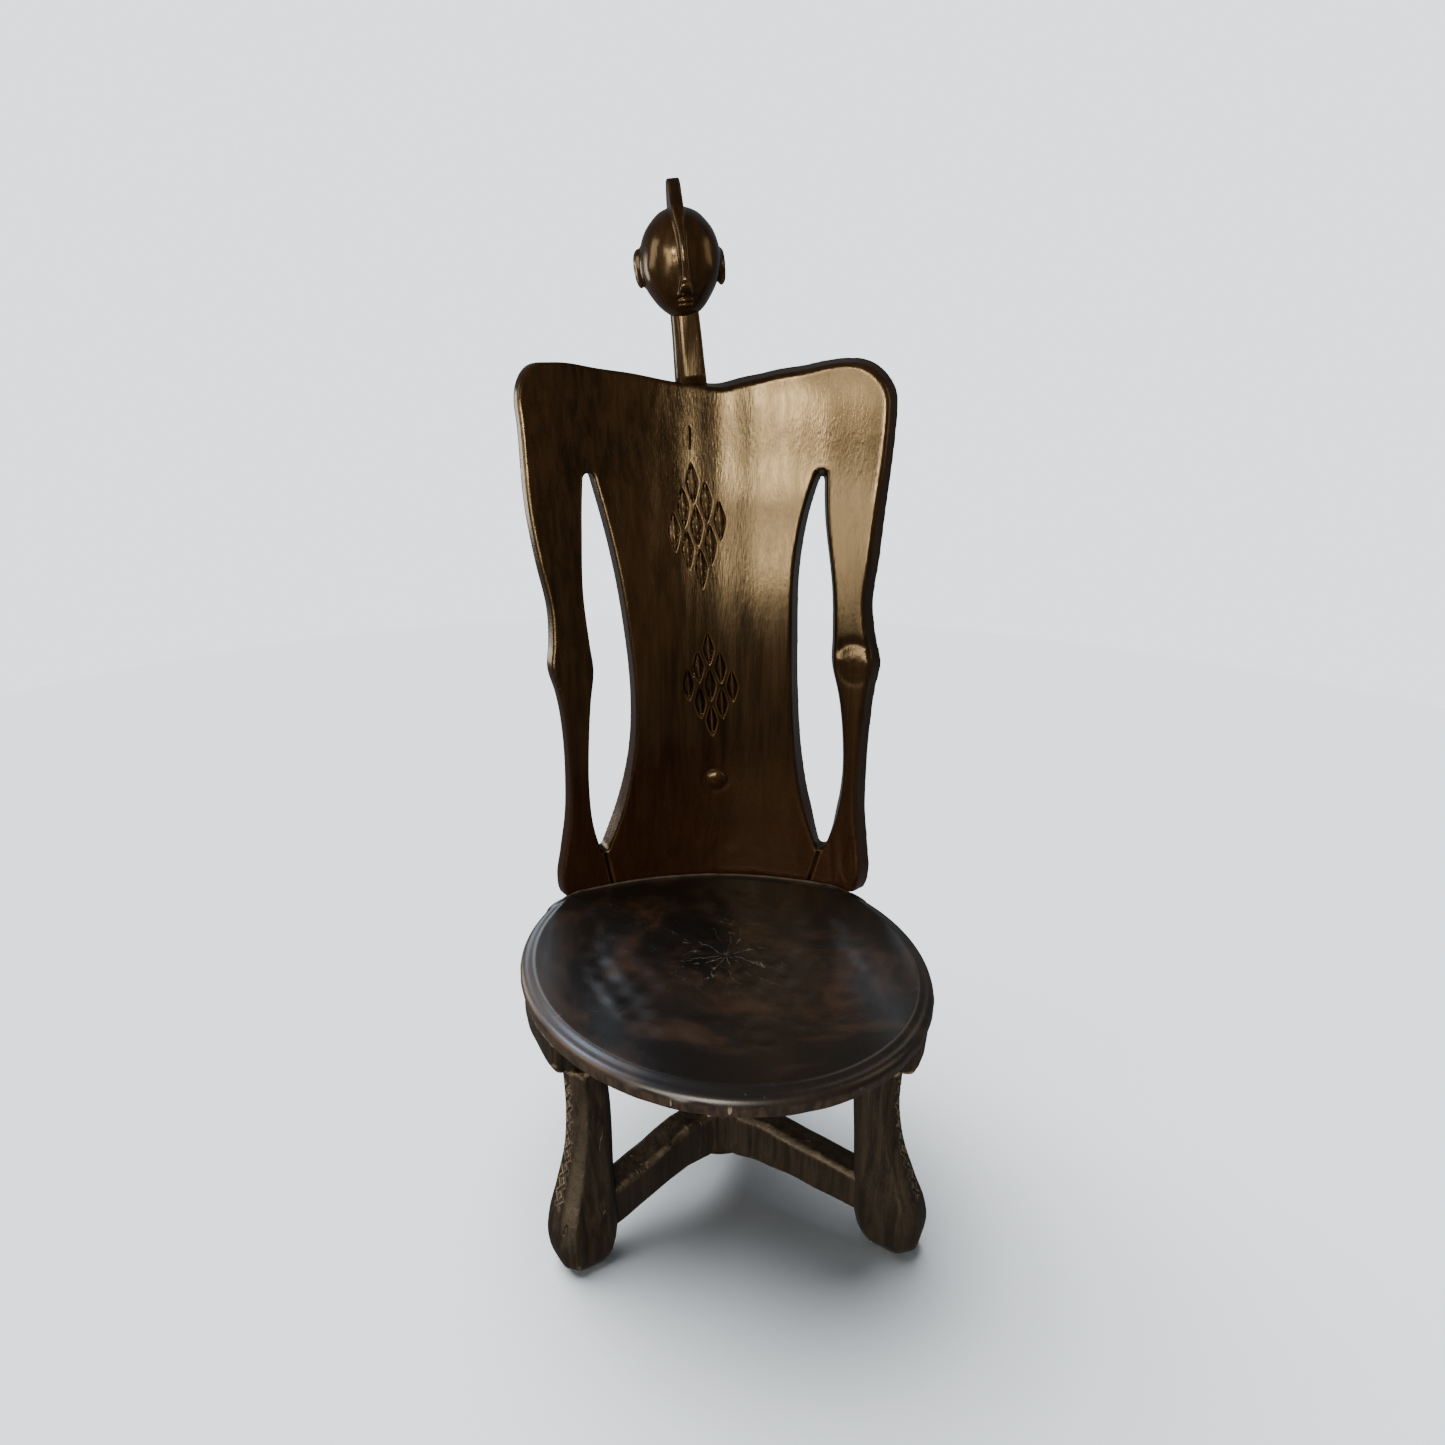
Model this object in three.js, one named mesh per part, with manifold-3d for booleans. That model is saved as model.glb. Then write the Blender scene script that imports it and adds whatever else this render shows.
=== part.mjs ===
// A high-backed stool carved from one block of dark hardwood: a dished round seat on three legs joined by a
// low three-armed stretcher, and a dished back shaped as a body with shoulders, arms and a crested head.
// Millimetres, +Z up, the sitter faces -Y, and the origin is the middle of the object's footprint.
// The real piece is one timber. Each carved element is a solid of its own, parted from its neighbours by GAP.
import * as THREE from "three";
import { mergeVertices } from "three/addons/utils/BufferGeometryUtils.js";
import Module from "manifold-3d";

const wasm = await Module();
wasm.setup();

// ---- driving dimensions ----
const GAP = 0.3;
const FAR = 400; // reach of the blocks that trim other solids

const SEAT_RADIUS = 215;
const SEAT_HEIGHT = 262; // crown of the rim above the floor
const RIM_WIDTH = 17; // flat to bevelled ring around the dish
const RIM_BEVEL = 13; // drop of the bevel to the side band
const SEAT_UNDERSIDE = 236;
const DISH_DEPTH = 19;
const SEAT_SIDES = 64;

// Each leg's angle from +X seen from above, the side of it, 1 anticlockwise, on which its block runs on,
// how far its foot steps away from that side, and how far its stretcher drops on the way out.
const LEGS = {
  left_front: { angle: -149, side: -1, footStep: 30, drop: 14 },
  right_front: { angle: -32, side: 1, footStep: 2, drop: 4 },
  rear: { angle: 90, side: 1, footStep: 0, drop: 7 },
};
const LEG_TOP = 197;
const BLOCK_BOTTOM = 190;
const BLOCK_SWEEP = 30; // degrees that a block runs past its leg
const BLOCK_INNER_RADIUS = 125;
const STRETCHER_HALF_WIDTH = 16;
const HUB_RADIUS = 30;
const HUB_Y = -4;
const STRETCHER_MEETS = 0.75; // share of a foot's step that its leg has made where the stretcher meets it

const BACK_THICKNESS = 26; // at its midline
const EDGE_THINNING = 7; // how much thinner it is at its widest
const CUT_FRONT = -60; // how far the back's outlines are pushed in front of its hollow face and behind it
const CUT_BEHIND = 160;
const ARMPIT_HEIGHT = 757;
const ELBOW_TOP = 590;
const ELBOW_BOTTOM = 505;
const WRIST_HEIGHT = 395;
const NECK_FOOT = { x: -17, z: 853 };
const NECK_HALF_WIDTH = 17;
const NECK_HEIGHT = 70;
const HEAD_LEAN = 6; // degrees towards -X, for the neck, head and crest together
const HEAD = { halfWidth: 42, halfDepth: 50, halfHeight: 60 };
const CREST_THICKNESS = 13;
const EAR_LIFT = 4; // the ears stay level although the head leans
const NAVEL = { x: 10, z: 393, radius: 13, height: 7 };

// ---- materials ----
const wood = (color, roughness) => new THREE.MeshStandardMaterial({ color, roughness, metalness: 0 });
const POLISHED = wood(0x3a2415, 0.35);
const SEAT_WOOD = wood(0x1d1512, 0.3);
const LEG_WOOD = wood(0x40372f, 0.6);

// ---- solids ----
function solidOf(geometry) {
  const bare = geometry.clone();
  bare.deleteAttribute("normal");
  bare.deleteAttribute("uv");
  const merged = mergeVertices(bare, 1e-3);
  return new wasm.Manifold(
    new wasm.Mesh({
      numProp: 3,
      vertProperties: merged.attributes.position.array,
      triVerts: new Uint32Array(merged.index.array),
    }),
  );
}

function geometryOf(solid) {
  const { numProp, vertProperties, triVerts } = solid.getMesh();
  const geometry = new THREE.BufferGeometry();
  const data = new THREE.InterleavedBuffer(vertProperties, numProp);
  geometry.setAttribute("position", new THREE.InterleavedBufferAttribute(data, 3, 0));
  geometry.setIndex(new THREE.BufferAttribute(triVerts, 1));
  const flat = geometry.toNonIndexed();
  flat.computeVertexNormals();
  return flat;
}

const stool = new THREE.Group();

function addNode(name, solid, material) {
  const mesh = new THREE.Mesh(geometryOf(solid), material);
  mesh.name = name;
  stool.add(mesh);
}

// A box given by its two corners, as a solid.
function boxSolid(low, high) {
  const size = high.map((value, i) => value - low[i]);
  const middle = high.map((value, i) => (value + low[i]) / 2);
  return solidOf(new THREE.BoxGeometry(...size).translate(...middle));
}

// Evenly spaced points on a smooth curve through the given ones.
const splinePoints = (points, divisions) =>
  new THREE.SplineCurve(points.map(([x, z]) => new THREE.Vector2(x, z))).getPoints(divisions);

const interpolate = (stations, at) => {
  const next = stations.findIndex(([key]) => key >= at);
  if (next <= 0) return stations.at(next === 0 ? 0 : -1)[1];
  const [[fromKey, from], [toKey, to]] = [stations[next - 1], stations[next]];
  return THREE.MathUtils.mapLinear(at, fromKey, toKey, from, to);
};

// ---- seat: a dished disc with a bevelled rim and a plain side band ----
function seatProfile(lift) {
  const dishRadius = SEAT_RADIUS - RIM_WIDTH;
  const dish = [];
  for (let step = 0; step <= 8; step += 1) {
    const share = 1 - step / 8;
    dish.push([dishRadius * share, SEAT_HEIGHT - 2 - DISH_DEPTH * (1 - share ** 2.4) + lift]);
  }
  return [
    [0, SEAT_UNDERSIDE - 6],
    [SEAT_RADIUS - 60, SEAT_UNDERSIDE - 6],
    [SEAT_RADIUS - 45, SEAT_UNDERSIDE],
    [SEAT_RADIUS - 7 + lift, SEAT_UNDERSIDE],
    [SEAT_RADIUS - 4 + lift, SEAT_UNDERSIDE + 4],
    [SEAT_RADIUS + lift, SEAT_HEIGHT - RIM_BEVEL + lift],
    [SEAT_RADIUS - 7, SEAT_HEIGHT - 3 + lift],
    [dishRadius + 4, SEAT_HEIGHT + lift],
    ...dish,
  ];
}

// LatheGeometry turns a profile about Y; this stands the result up along Z.
function latheZ(profile, sides, centreY = 0) {
  const points = profile.map(([radius, z]) => new THREE.Vector2(radius, z));
  return solidOf(new THREE.LatheGeometry(points, sides).rotateX(Math.PI / 2).translate(0, centreY, 0));
}

const seat = latheZ(seatProfile(0), SEAT_SIDES);
const seatClearance = latheZ(seatProfile(GAP), SEAT_SIDES);

// ---- back: one curved slab, cut into its carved elements by outlines seen from the front ----
// By height: the sideways place of the back's axis, its hollow face there, and how hard the sides come
// forward.
const MIDLINE = [[262, 5], [480, 5], [700, -7], [850, -8], [880, -13]];
const HOLLOW = [[240, 182], [300, 167], [390, 152], [545, 149], [705, 168], [860, 199], [895, 203]];
const CURL = [[262, 0.0019], [546, 0.00152], [861, 0.00124]];

const midline = (z) => interpolate(MIDLINE, z);
const backFront = (x, z) => interpolate(HOLLOW, z) - interpolate(CURL, z) * (x - midline(z)) ** 2;

// A closed slab between two curved faces over a rectangle in XZ.
function curvedSlab(halfWidth, low, high, columns, rows) {
  const positions = [];
  const faces = [];
  const across = columns + 1;
  const sheet = across * (rows + 1);
  for (const layer of [0, 1])
    for (let row = 0; row <= rows; row += 1)
      for (let column = 0; column <= columns; column += 1) {
        const x = halfWidth * ((2 * column) / columns - 1);
        const z = low + ((high - low) * row) / rows;
        const thickness = BACK_THICKNESS - EDGE_THINNING * ((x - midline(z)) / halfWidth) ** 2;
        positions.push(x, backFront(x, z) + (layer * thickness) / backNormal(x, z).y, z);
      }
  const quad = (a, b, c, d) => faces.push(a, b, c, a, c, d);
  for (let row = 0; row < rows; row += 1)
    for (let column = 0; column < columns; column += 1) {
      const a = row * across + column;
      quad(a, a + 1, a + 1 + across, a + across);
      quad(a + sheet, a + sheet + across, a + sheet + 1 + across, a + sheet + 1);
    }
  for (let row = 0; row < rows; row += 1) {
    const left = row * across;
    const right = left + columns;
    quad(left, left + across, left + across + sheet, left + sheet);
    quad(right, right + sheet, right + across + sheet, right + across);
  }
  for (let column = 0; column < columns; column += 1) {
    const bottom = column;
    const top = rows * across + column;
    quad(bottom, bottom + sheet, bottom + 1 + sheet, bottom + 1);
    quad(top, top + 1, top + 1 + sheet, top + sheet);
  }
  const geometry = new THREE.BufferGeometry();
  geometry.setAttribute("position", new THREE.BufferAttribute(new Float32Array(positions), 3));
  geometry.setIndex(faces);
  return solidOf(geometry);
}

const slab = curvedSlab(235, 240, 895, 18, 24);

// Rearward normal of the hollow face, level with the floor.
function backNormal(x, z) {
  const slope = 2 * interpolate(CURL, z) * (x - midline(z));
  return new THREE.Vector2(slope, 1).normalize();
}

// An outline on the hollow face, pushed straight through the slab along its normals.
function throughSlab(shape) {
  const geometry = new THREE.ExtrudeGeometry(shape, { depth: 1, bevelEnabled: false }).rotateX(Math.PI / 2);
  const position = geometry.attributes.position;
  for (let i = 0; i < position.count; i += 1) {
    const [x, z] = [position.getX(i), position.getZ(i)];
    const normal = backNormal(x, z);
    const reach = position.getY(i) < -0.5 ? CUT_FRONT : CUT_BEHIND;
    position.setXYZ(i, x + reach * normal.x, backFront(x, z) + reach * normal.y, z);
  }
  return solidOf(geometry);
}

// Half outlines as [distance from the midline, height].
const ARM_OUTER = [
  [196, ARMPIT_HEIGHT], [183, 665], [174, 608], [175, 572], [178, 547], [172, 515],
  [166, 450], [165, 410], [166, 368], [172, 320], [177, 275], [178, 240],
];
const ARM_INNER = [
  [134, ARMPIT_HEIGHT], [135, 700], [138, 620], [136, 570], [134, 540], [139, 503],
  [143, 450], [144, 400], [140, 352], [129, 306],
];
const TORSO_SIDE = [
  [123, ARMPIT_HEIGHT], [110, 712], [98, 650], [90.5, 570], [88.5, 500], [93, 425], [104, 364], [123, 306],
];
const HAND_SPLIT = 126; // where a hand meets the hip, below the arm opening
const OPENING_FOOT = 305;
const HIP_HEIGHT = 285;
const SHOULDER_TOP = [
  [15, 854], [60, 861], [110, 870], [160, 877], [184, 867], [199, 849], [203, 830], [195, ARMPIT_HEIGHT],
];

const place = (points, side) => points.map(([half, z]) => [midline(z) + side * half, z]);
const outlineOf = (...runs) => new THREE.Shape(runs.flat().map(([x, z]) => new THREE.Vector2(x, z)));
const smooth = (points, divisions) => splinePoints(points, divisions).map(({ x, y }) => [x, y]);

function backPiece(shape) {
  return slab.intersect(throughSlab(shape)).subtract(seatClearance);
}

const band = (low, high) => boxSolid([-FAR, -FAR, low + GAP / 2], [FAR, FAR, high - GAP / 2]);

const shoulderOutline = outlineOf(
  smooth(place(SHOULDER_TOP, 1), 20),
  smooth(place(SHOULDER_TOP, -1), 20).reverse(),
);
const neckClearance = boxSolid(
  [NECK_FOOT.x - NECK_HALF_WIDTH - 4, 150, NECK_FOOT.z - 12],
  [NECK_FOOT.x + NECK_HALF_WIDTH + 4, 260, FAR + NECK_FOOT.z],
);
const shoulders = backPiece(shoulderOutline).intersect(band(ARMPIT_HEIGHT, NECK_FOOT.z + FAR));
addNode("shoulders", shoulders.subtract(neckClearance), POLISHED);

// Everything outside an upright plane that parts a hand from the hip, square to the hollow face.
function beyondHip(side, gap) {
  const x = midline(HIP_HEIGHT) + side * HAND_SPLIT;
  const normal = backNormal(x, HIP_HEIGHT);
  const block = new THREE.BoxGeometry(FAR, 2 * FAR, 2 * FAR).translate(side * (FAR / 2 + gap), 0, 0);
  return solidOf(block.rotateZ(-Math.atan2(normal.x, normal.y)).translate(x, backFront(x, HIP_HEIGHT), 0));
}

const hips = [[HAND_SPLIT + 10, OPENING_FOOT], [HAND_SPLIT + 10, 240]];
const torsoOutline = outlineOf(
  smooth(place(TORSO_SIDE, 1), 20),
  place(hips, 1),
  place(hips, -1).reverse(),
  smooth(place(TORSO_SIDE, -1), 20).reverse(),
);
const torso = backPiece(torsoOutline).intersect(band(0, ARMPIT_HEIGHT));
addNode("torso", torso.subtract(beyondHip(-1, -GAP)).subtract(beyondHip(1, -GAP)), POLISHED);

for (const [sideName, side] of [["left", -1], ["right", 1]]) {
  const arm = backPiece(
    outlineOf(
      smooth(place(ARM_OUTER, side), 34),
      place([[HAND_SPLIT - 10, 240], [HAND_SPLIT - 10, OPENING_FOOT]], side),
      smooth(place(ARM_INNER, side), 30).reverse(),
    ),
  );
  addNode(`${sideName}_upper_arm`, arm.intersect(band(ELBOW_TOP, ARMPIT_HEIGHT)), POLISHED);
  addNode(`${sideName}_elbow`, arm.intersect(band(ELBOW_BOTTOM, ELBOW_TOP)), POLISHED);
  addNode(`${sideName}_forearm`, arm.intersect(band(WRIST_HEIGHT, ELBOW_BOTTOM)), POLISHED);
  const hand = arm.intersect(band(0, WRIST_HEIGHT)).intersect(beyondHip(side, 0));
  addNode(`${sideName}_hand`, hand, POLISHED);
}

// ---- navel: a low dome standing on the front of the torso ----
const navelY = backFront(NAVEL.x, NAVEL.z);
const navelDome = new THREE.SphereGeometry(NAVEL.radius, 20, 12)
  .scale(1, NAVEL.height / NAVEL.radius, 1)
  .translate(NAVEL.x, navelY, NAVEL.z);
const behindBackFront = boxSolid([-FAR, navelY - GAP - 0.6, 0], [FAR, FAR, FAR + NAVEL.z]);
addNode("navel_boss", solidOf(navelDome).subtract(behindBackFront), POLISHED);

// ---- seat ----
addNode("seat", seat, SEAT_WOOD);

// ---- neck, head, crest and ears, leaning together about the foot of the neck ----
const headPlace = new THREE.Matrix4()
  .makeTranslation(NECK_FOOT.x, interpolate(HOLLOW, NECK_FOOT.z), NECK_FOOT.z)
  .multiply(new THREE.Matrix4().makeRotationY(THREE.MathUtils.degToRad(-HEAD_LEAN)));
const placeHead = (geometry) => solidOf(geometry.applyMatrix4(headPlace));

const headMiddle = new THREE.Vector3(0, 10, NECK_HEIGHT + HEAD.halfHeight - 1);

// The head: an egg, narrower at the chin, its surface a sphere reshaped point by point.
function eggGeometry(grow) {
  const geometry = new THREE.SphereGeometry(1, 28, 20).rotateX(Math.PI / 2);
  const position = geometry.attributes.position;
  for (let i = 0; i < position.count; i += 1) {
    const z = position.getZ(i);
    const taper = 1 - 0.22 * Math.max(0, -z) ** 1.5;
    position.setXYZ(
      i,
      position.getX(i) * (HEAD.halfWidth * taper + grow),
      position.getY(i) * (HEAD.halfDepth * taper + grow),
      z * (HEAD.halfHeight + grow),
    );
  }
  return geometry.translate(headMiddle.x, headMiddle.y, headMiddle.z);
}
const head = placeHead(eggGeometry(0));
const headClearance = placeHead(eggGeometry(GAP));

const neckShape = new THREE.Shape([
  new THREE.Vector2(-NECK_HALF_WIDTH, -14),
  new THREE.Vector2(NECK_HALF_WIDTH, -14),
  new THREE.Vector2(NECK_HALF_WIDTH - 2, NECK_HEIGHT + 10),
  new THREE.Vector2(-NECK_HALF_WIDTH + 2, NECK_HEIGHT + 10),
]);
const neckBlock = new THREE.ExtrudeGeometry(neckShape, { depth: 32, bevelEnabled: false })
  .rotateX(Math.PI / 2)
  .translate(0, 30, 0);
const shoulderTopClearance = boxSolid([-FAR, -FAR, 0], [FAR, FAR, NECK_FOOT.z - 12 + GAP]);
const neck = placeHead(neckBlock).subtract(headClearance).subtract(shoulderTopClearance);
addNode("neck", neck, POLISHED);
addNode("head", head, POLISHED);

// The crest: a thin blade from the bridge of the nose over the crown, seen from the side as [y, z].
const CREST_SIDE = [
  [-44, 88], [-47, 112], [-45, 142], [-33, 172], [-16, 201], [-3, 217], [6, 218], [22, 205],
  [40, 184], [54, 160], [58, 140], [40, 130], [10, 125], [-20, 110],
];
const crestShape = new THREE.Shape(splinePoints(CREST_SIDE, 40).map(({ x, y }) => new THREE.Vector2(x, y)));
const crestBlade = new THREE.ExtrudeGeometry(crestShape, { depth: CREST_THICKNESS, bevelEnabled: false })
  .rotateX(Math.PI / 2)
  .rotateZ(Math.PI / 2)
  .translate(-CREST_THICKNESS / 2, 0, 0);
addNode("crest", placeHead(crestBlade).subtract(headClearance), POLISHED);

for (const [sideName, side] of [["left", -1], ["right", 1]]) {
  const ear = new THREE.SphereGeometry(1, 16, 10)
    .scale(8, 13, 21)
    .translate(side * (HEAD.halfWidth + 1), headMiddle.y + 4, headMiddle.z - 4 - side * EAR_LIFT);
  addNode(`${sideName}_ear`, placeHead(ear).subtract(headClearance), POLISHED);
}

// ---- legs, their blocks under the rim, and the stretcher between them ----
// A leg's level sections, as [height, inner radius, outer radius, half width, corner chamfer].
const LEG_SECTIONS = [
  [0, 176, 211, 15, 6], [8, 166, 218, 21, 9], [28, 158, 224, 25, 11], [52, 157, 221, 25, 11],
  [80, 155, 211, 22, 11], [112, 152, 200, 19, 11], [150, 150, 194, 18, 11], [LEG_TOP, 150, 193, 18, 11],
];
const stretcherOutline = (drop) => [
  [8, 34], [60, 39], [110, 38 - drop * 0.5], [180, 32 - drop],
  [180, 72 - drop], [110, 80 - drop * 0.5], [60, 86], [8, 86],
];
const HUB_PROFILE = [
  [0, 30], [HUB_RADIUS - 6, 30], [HUB_RADIUS, 36], [HUB_RADIUS, 82], [HUB_RADIUS - 7, 88], [0, 88],
];

// An outline as [distance, height], extruded across that distance with chamfered edges, standing along +X.
function plank(outline, thickness, chamfer) {
  const shape = new THREE.Shape(outline.map(([radius, z]) => new THREE.Vector2(radius, z)));
  const geometry = new THREE.ExtrudeGeometry(shape, {
    depth: thickness - 2 * chamfer,
    bevelThickness: chamfer,
    bevelSize: chamfer,
    bevelOffset: -chamfer,
    bevelSegments: 1,
  });
  return geometry.translate(0, 0, chamfer - thickness / 2).rotateX(Math.PI / 2);
}

// A closed solid through level eight-sided sections, turned to its angle.
function legSolid({ angle, side, footStep }, grow) {
  const positions = [];
  for (const [z, inner, outer, half, chamfer] of LEG_SECTIONS) {
    const [low, high, reach] = [inner - grow, outer + grow, half + grow];
    const step = -side * footStep * (1 - z / LEG_TOP);
    for (const [radius, across] of [
      [low + chamfer, -reach], [high - chamfer, -reach], [high, chamfer - reach], [high, reach - chamfer],
      [high - chamfer, reach], [low + chamfer, reach], [low, reach - chamfer], [low, chamfer - reach],
    ])
      positions.push(radius, across + step, z);
  }
  const faces = [];
  const last = 8 * (LEG_SECTIONS.length - 1);
  for (let ring = 0; ring < last; ring += 8)
    for (let corner = 0; corner < 8; corner += 1) {
      const [a, b] = [ring + corner, ring + ((corner + 1) % 8)];
      faces.push(a, b, b + 8, a, b + 8, a + 8);
    }
  for (let corner = 1; corner < 7; corner += 1) {
    faces.push(0, corner + 1, corner);
    faces.push(last, last + corner, last + corner + 1);
  }
  const geometry = new THREE.BufferGeometry();
  geometry.setAttribute("position", new THREE.BufferAttribute(new Float32Array(positions), 3));
  geometry.setIndex(faces);
  return solidOf(geometry.rotateZ(THREE.MathUtils.degToRad(angle)));
}

// A block under the rim, seen from above: the rim's arc, and a flat front beside the leg's outer corner.
function blockSolid(legAngle, side) {
  const polar = (radius, degrees) => {
    const angle = THREE.MathUtils.degToRad(legAngle + side * degrees);
    return new THREE.Vector2(radius * Math.cos(angle), radius * Math.sin(angle));
  };
  const plan = [polar(175, -8), polar(BLOCK_INNER_RADIUS, -8), polar(BLOCK_INNER_RADIUS, BLOCK_SWEEP)];
  for (let degrees = BLOCK_SWEEP + 4; degrees > -2; degrees -= 4) plan.push(polar(SEAT_RADIUS, degrees));
  if (side < 0) plan.reverse();
  const depth = FAR - BLOCK_BOTTOM;
  const prism = new THREE.ExtrudeGeometry(new THREE.Shape(plan), { depth, bevelEnabled: false });
  return solidOf(prism.translate(0, 0, BLOCK_BOTTOM));
}

// The form that the blocks are cut from: their outer lower corner is rounded like the rim above it.
const blockFloor = LEG_TOP + GAP;
const blockCeiling = SEAT_UNDERSIDE - GAP;
const BLOCK_PROFILE = [
  [100, blockFloor], [190, blockFloor], [200, 200], [206, 208],
  [SEAT_RADIUS - 7, blockCeiling], [100, blockCeiling], [100, blockFloor],
];
const blockForm = latheZ(BLOCK_PROFILE, SEAT_SIDES);
const hub = latheZ(HUB_PROFILE, 6, HUB_Y);
const hubReach = HUB_RADIUS + GAP;
const hubClearance = latheZ([[0, 20], [hubReach, 20], [hubReach, 96], [0, 96]], 6, HUB_Y);

// A stretcher runs from the hub to the middle of its leg at the height where they meet. Its bar is made too
// long, so the leg parts it, and the stub past the leg is dropped.
function stretcherSolid(leg) {
  const step = new THREE.Vector2(190, -leg.side * leg.footStep * STRETCHER_MEETS);
  const target = step.rotateAround(new THREE.Vector2(), THREE.MathUtils.degToRad(leg.angle));
  const bar = plank(stretcherOutline(leg.drop), 2 * STRETCHER_HALF_WIDTH, 3);
  bar.rotateZ(Math.atan2(target.y - HUB_Y, target.x)).translate(0, HUB_Y, 0);
  const pieces = solidOf(bar).subtract(hubClearance).subtract(legSolid(leg, GAP)).decompose();
  return pieces.sort((a, b) => b.volume() - a.volume())[0];
}

addNode("stretcher_hub", hub, LEG_WOOD);
for (const [name, leg] of Object.entries(LEGS)) {
  addNode(`${name}_leg`, legSolid(leg, 0), LEG_WOOD);
  const block = blockSolid(leg.angle, leg.side).intersect(blockForm);
  addNode(`${name}_block`, block.subtract(seatClearance), LEG_WOOD);
  addNode(`${name}_stretcher`, stretcherSolid(leg), LEG_WOOD);
}

// ---- the finished piece, with its origin at the middle of the footprint ----
const footprint = new THREE.Box3().setFromObject(stool);
const middle = footprint.getCenter(new THREE.Vector3());
stool.position.set(-middle.x, -middle.y, -footprint.min.z);
const piece = new THREE.Group();
piece.add(stool);
export default piece;
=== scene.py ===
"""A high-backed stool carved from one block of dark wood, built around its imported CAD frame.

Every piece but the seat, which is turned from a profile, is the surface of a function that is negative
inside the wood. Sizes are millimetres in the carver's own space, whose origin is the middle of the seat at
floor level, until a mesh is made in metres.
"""
import math

import bmesh
import bpy
import numpy as np
from mathutils import Matrix, Vector


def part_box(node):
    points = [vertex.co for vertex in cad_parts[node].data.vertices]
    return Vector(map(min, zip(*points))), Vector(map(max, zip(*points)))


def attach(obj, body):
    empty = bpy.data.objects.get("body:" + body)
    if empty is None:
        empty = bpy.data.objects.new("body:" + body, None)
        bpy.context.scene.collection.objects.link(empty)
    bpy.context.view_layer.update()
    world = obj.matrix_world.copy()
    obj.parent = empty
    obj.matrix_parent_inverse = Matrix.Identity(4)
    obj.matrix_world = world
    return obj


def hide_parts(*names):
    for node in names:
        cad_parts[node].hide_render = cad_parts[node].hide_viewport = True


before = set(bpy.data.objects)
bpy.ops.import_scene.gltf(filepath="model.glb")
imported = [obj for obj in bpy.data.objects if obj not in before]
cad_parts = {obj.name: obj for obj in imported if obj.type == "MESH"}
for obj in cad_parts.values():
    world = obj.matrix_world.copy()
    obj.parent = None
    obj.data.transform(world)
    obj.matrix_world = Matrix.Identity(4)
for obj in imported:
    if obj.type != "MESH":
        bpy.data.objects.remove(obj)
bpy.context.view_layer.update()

MM = 0.001
SEAT_LOW, SEAT_TOP = (np.array(corner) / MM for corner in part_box("seat"))
CARVER_ORIGIN = np.array([*(SEAT_LOW + SEAT_TOP)[:2] / 2, 0.0])


def in_frame(points):
    """Points of the carver's space, in the row frame's metres."""
    return (np.asarray(points) + CARVER_ORIGIN) * MM


# ---- camera: at the photograph's viewing angle, a little above the crest and left of the middle ----
CAMERA_PLACE = (-127.05, -960.75, 886.2)
CAMERA_AZIMUTH, CAMERA_PITCH, CAMERA_ROLL = -1.29, 13.19, -1.11
CAMERA_LENS = 25.11
CAMERA_SHIFT = (0.1021, -0.0917)


def add_camera():
    azimuth, pitch, roll = (math.radians(a) for a in (CAMERA_AZIMUTH, CAMERA_PITCH, CAMERA_ROLL))
    level_part = math.cos(pitch)
    ahead = Vector((math.sin(azimuth) * level_part, math.cos(azimuth) * level_part, -math.sin(pitch)))
    level = Vector((math.cos(azimuth), -math.sin(azimuth), 0))
    upright = level.cross(ahead)
    right = math.cos(roll) * level + math.sin(roll) * upright
    up = math.cos(roll) * upright - math.sin(roll) * level
    camera = bpy.data.objects.new("camera", bpy.data.cameras.new("camera"))
    camera.matrix_world = Matrix((right, up, -ahead)).transposed().to_4x4()
    camera.location = in_frame(CAMERA_PLACE)
    camera.data.lens = CAMERA_LENS
    camera.data.shift_x, camera.data.shift_y = CAMERA_SHIFT
    bpy.context.scene.collection.objects.link(camera)
    bpy.context.scene.camera = camera


# ---- functions of space ----
def smooth_max(a, b, blend):
    """The larger of two distances, rounded where they are closer than blend."""
    near = np.maximum(blend - np.abs(a - b), 0) / blend
    return np.maximum(a, b) + near * near * blend / 4


def smooth_min(a, b, blend):
    return -smooth_max(-a, -b, blend)


def smooth_step(low, high, at):
    share = np.clip((at - low) / (high - low), 0, 1)
    return share * share * (3 - 2 * share)


def curve(stations):
    """A smooth function of height through stations of (value, height)."""
    values, heights = np.array(sorted(stations, key=lambda station: station[1]), float).T
    slopes = np.gradient(values, heights)

    def at(height):
        height = np.clip(height, heights[0], heights[-1])
        i = np.clip(np.searchsorted(heights, height) - 1, 0, len(heights) - 2)
        span = heights[i + 1] - heights[i]
        t = (height - heights[i]) / span
        rise = t * t * (3 - 2 * t)
        bend = span * t * (1 - t) * ((1 - t) * slopes[i] - t * slopes[i + 1])
        return values[i] * (1 - rise) + values[i + 1] * rise + bend

    return at


def ripple(points, wavelength, seed, waves=7):
    """A smooth random field between about -1 and 1, from a few crossing waves."""
    draw = np.random.default_rng(seed)
    directions = draw.normal(size=(waves, 3))
    directions /= np.linalg.norm(directions, axis=1)[:, None]
    phases = draw.uniform(0, 2 * math.pi, waves)
    scales = 2 * math.pi / (wavelength * draw.uniform(0.7, 1.5, waves))
    return np.sin(points @ (directions * scales[:, None]).T + phases).sum(1) / math.sqrt(waves)


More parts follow.
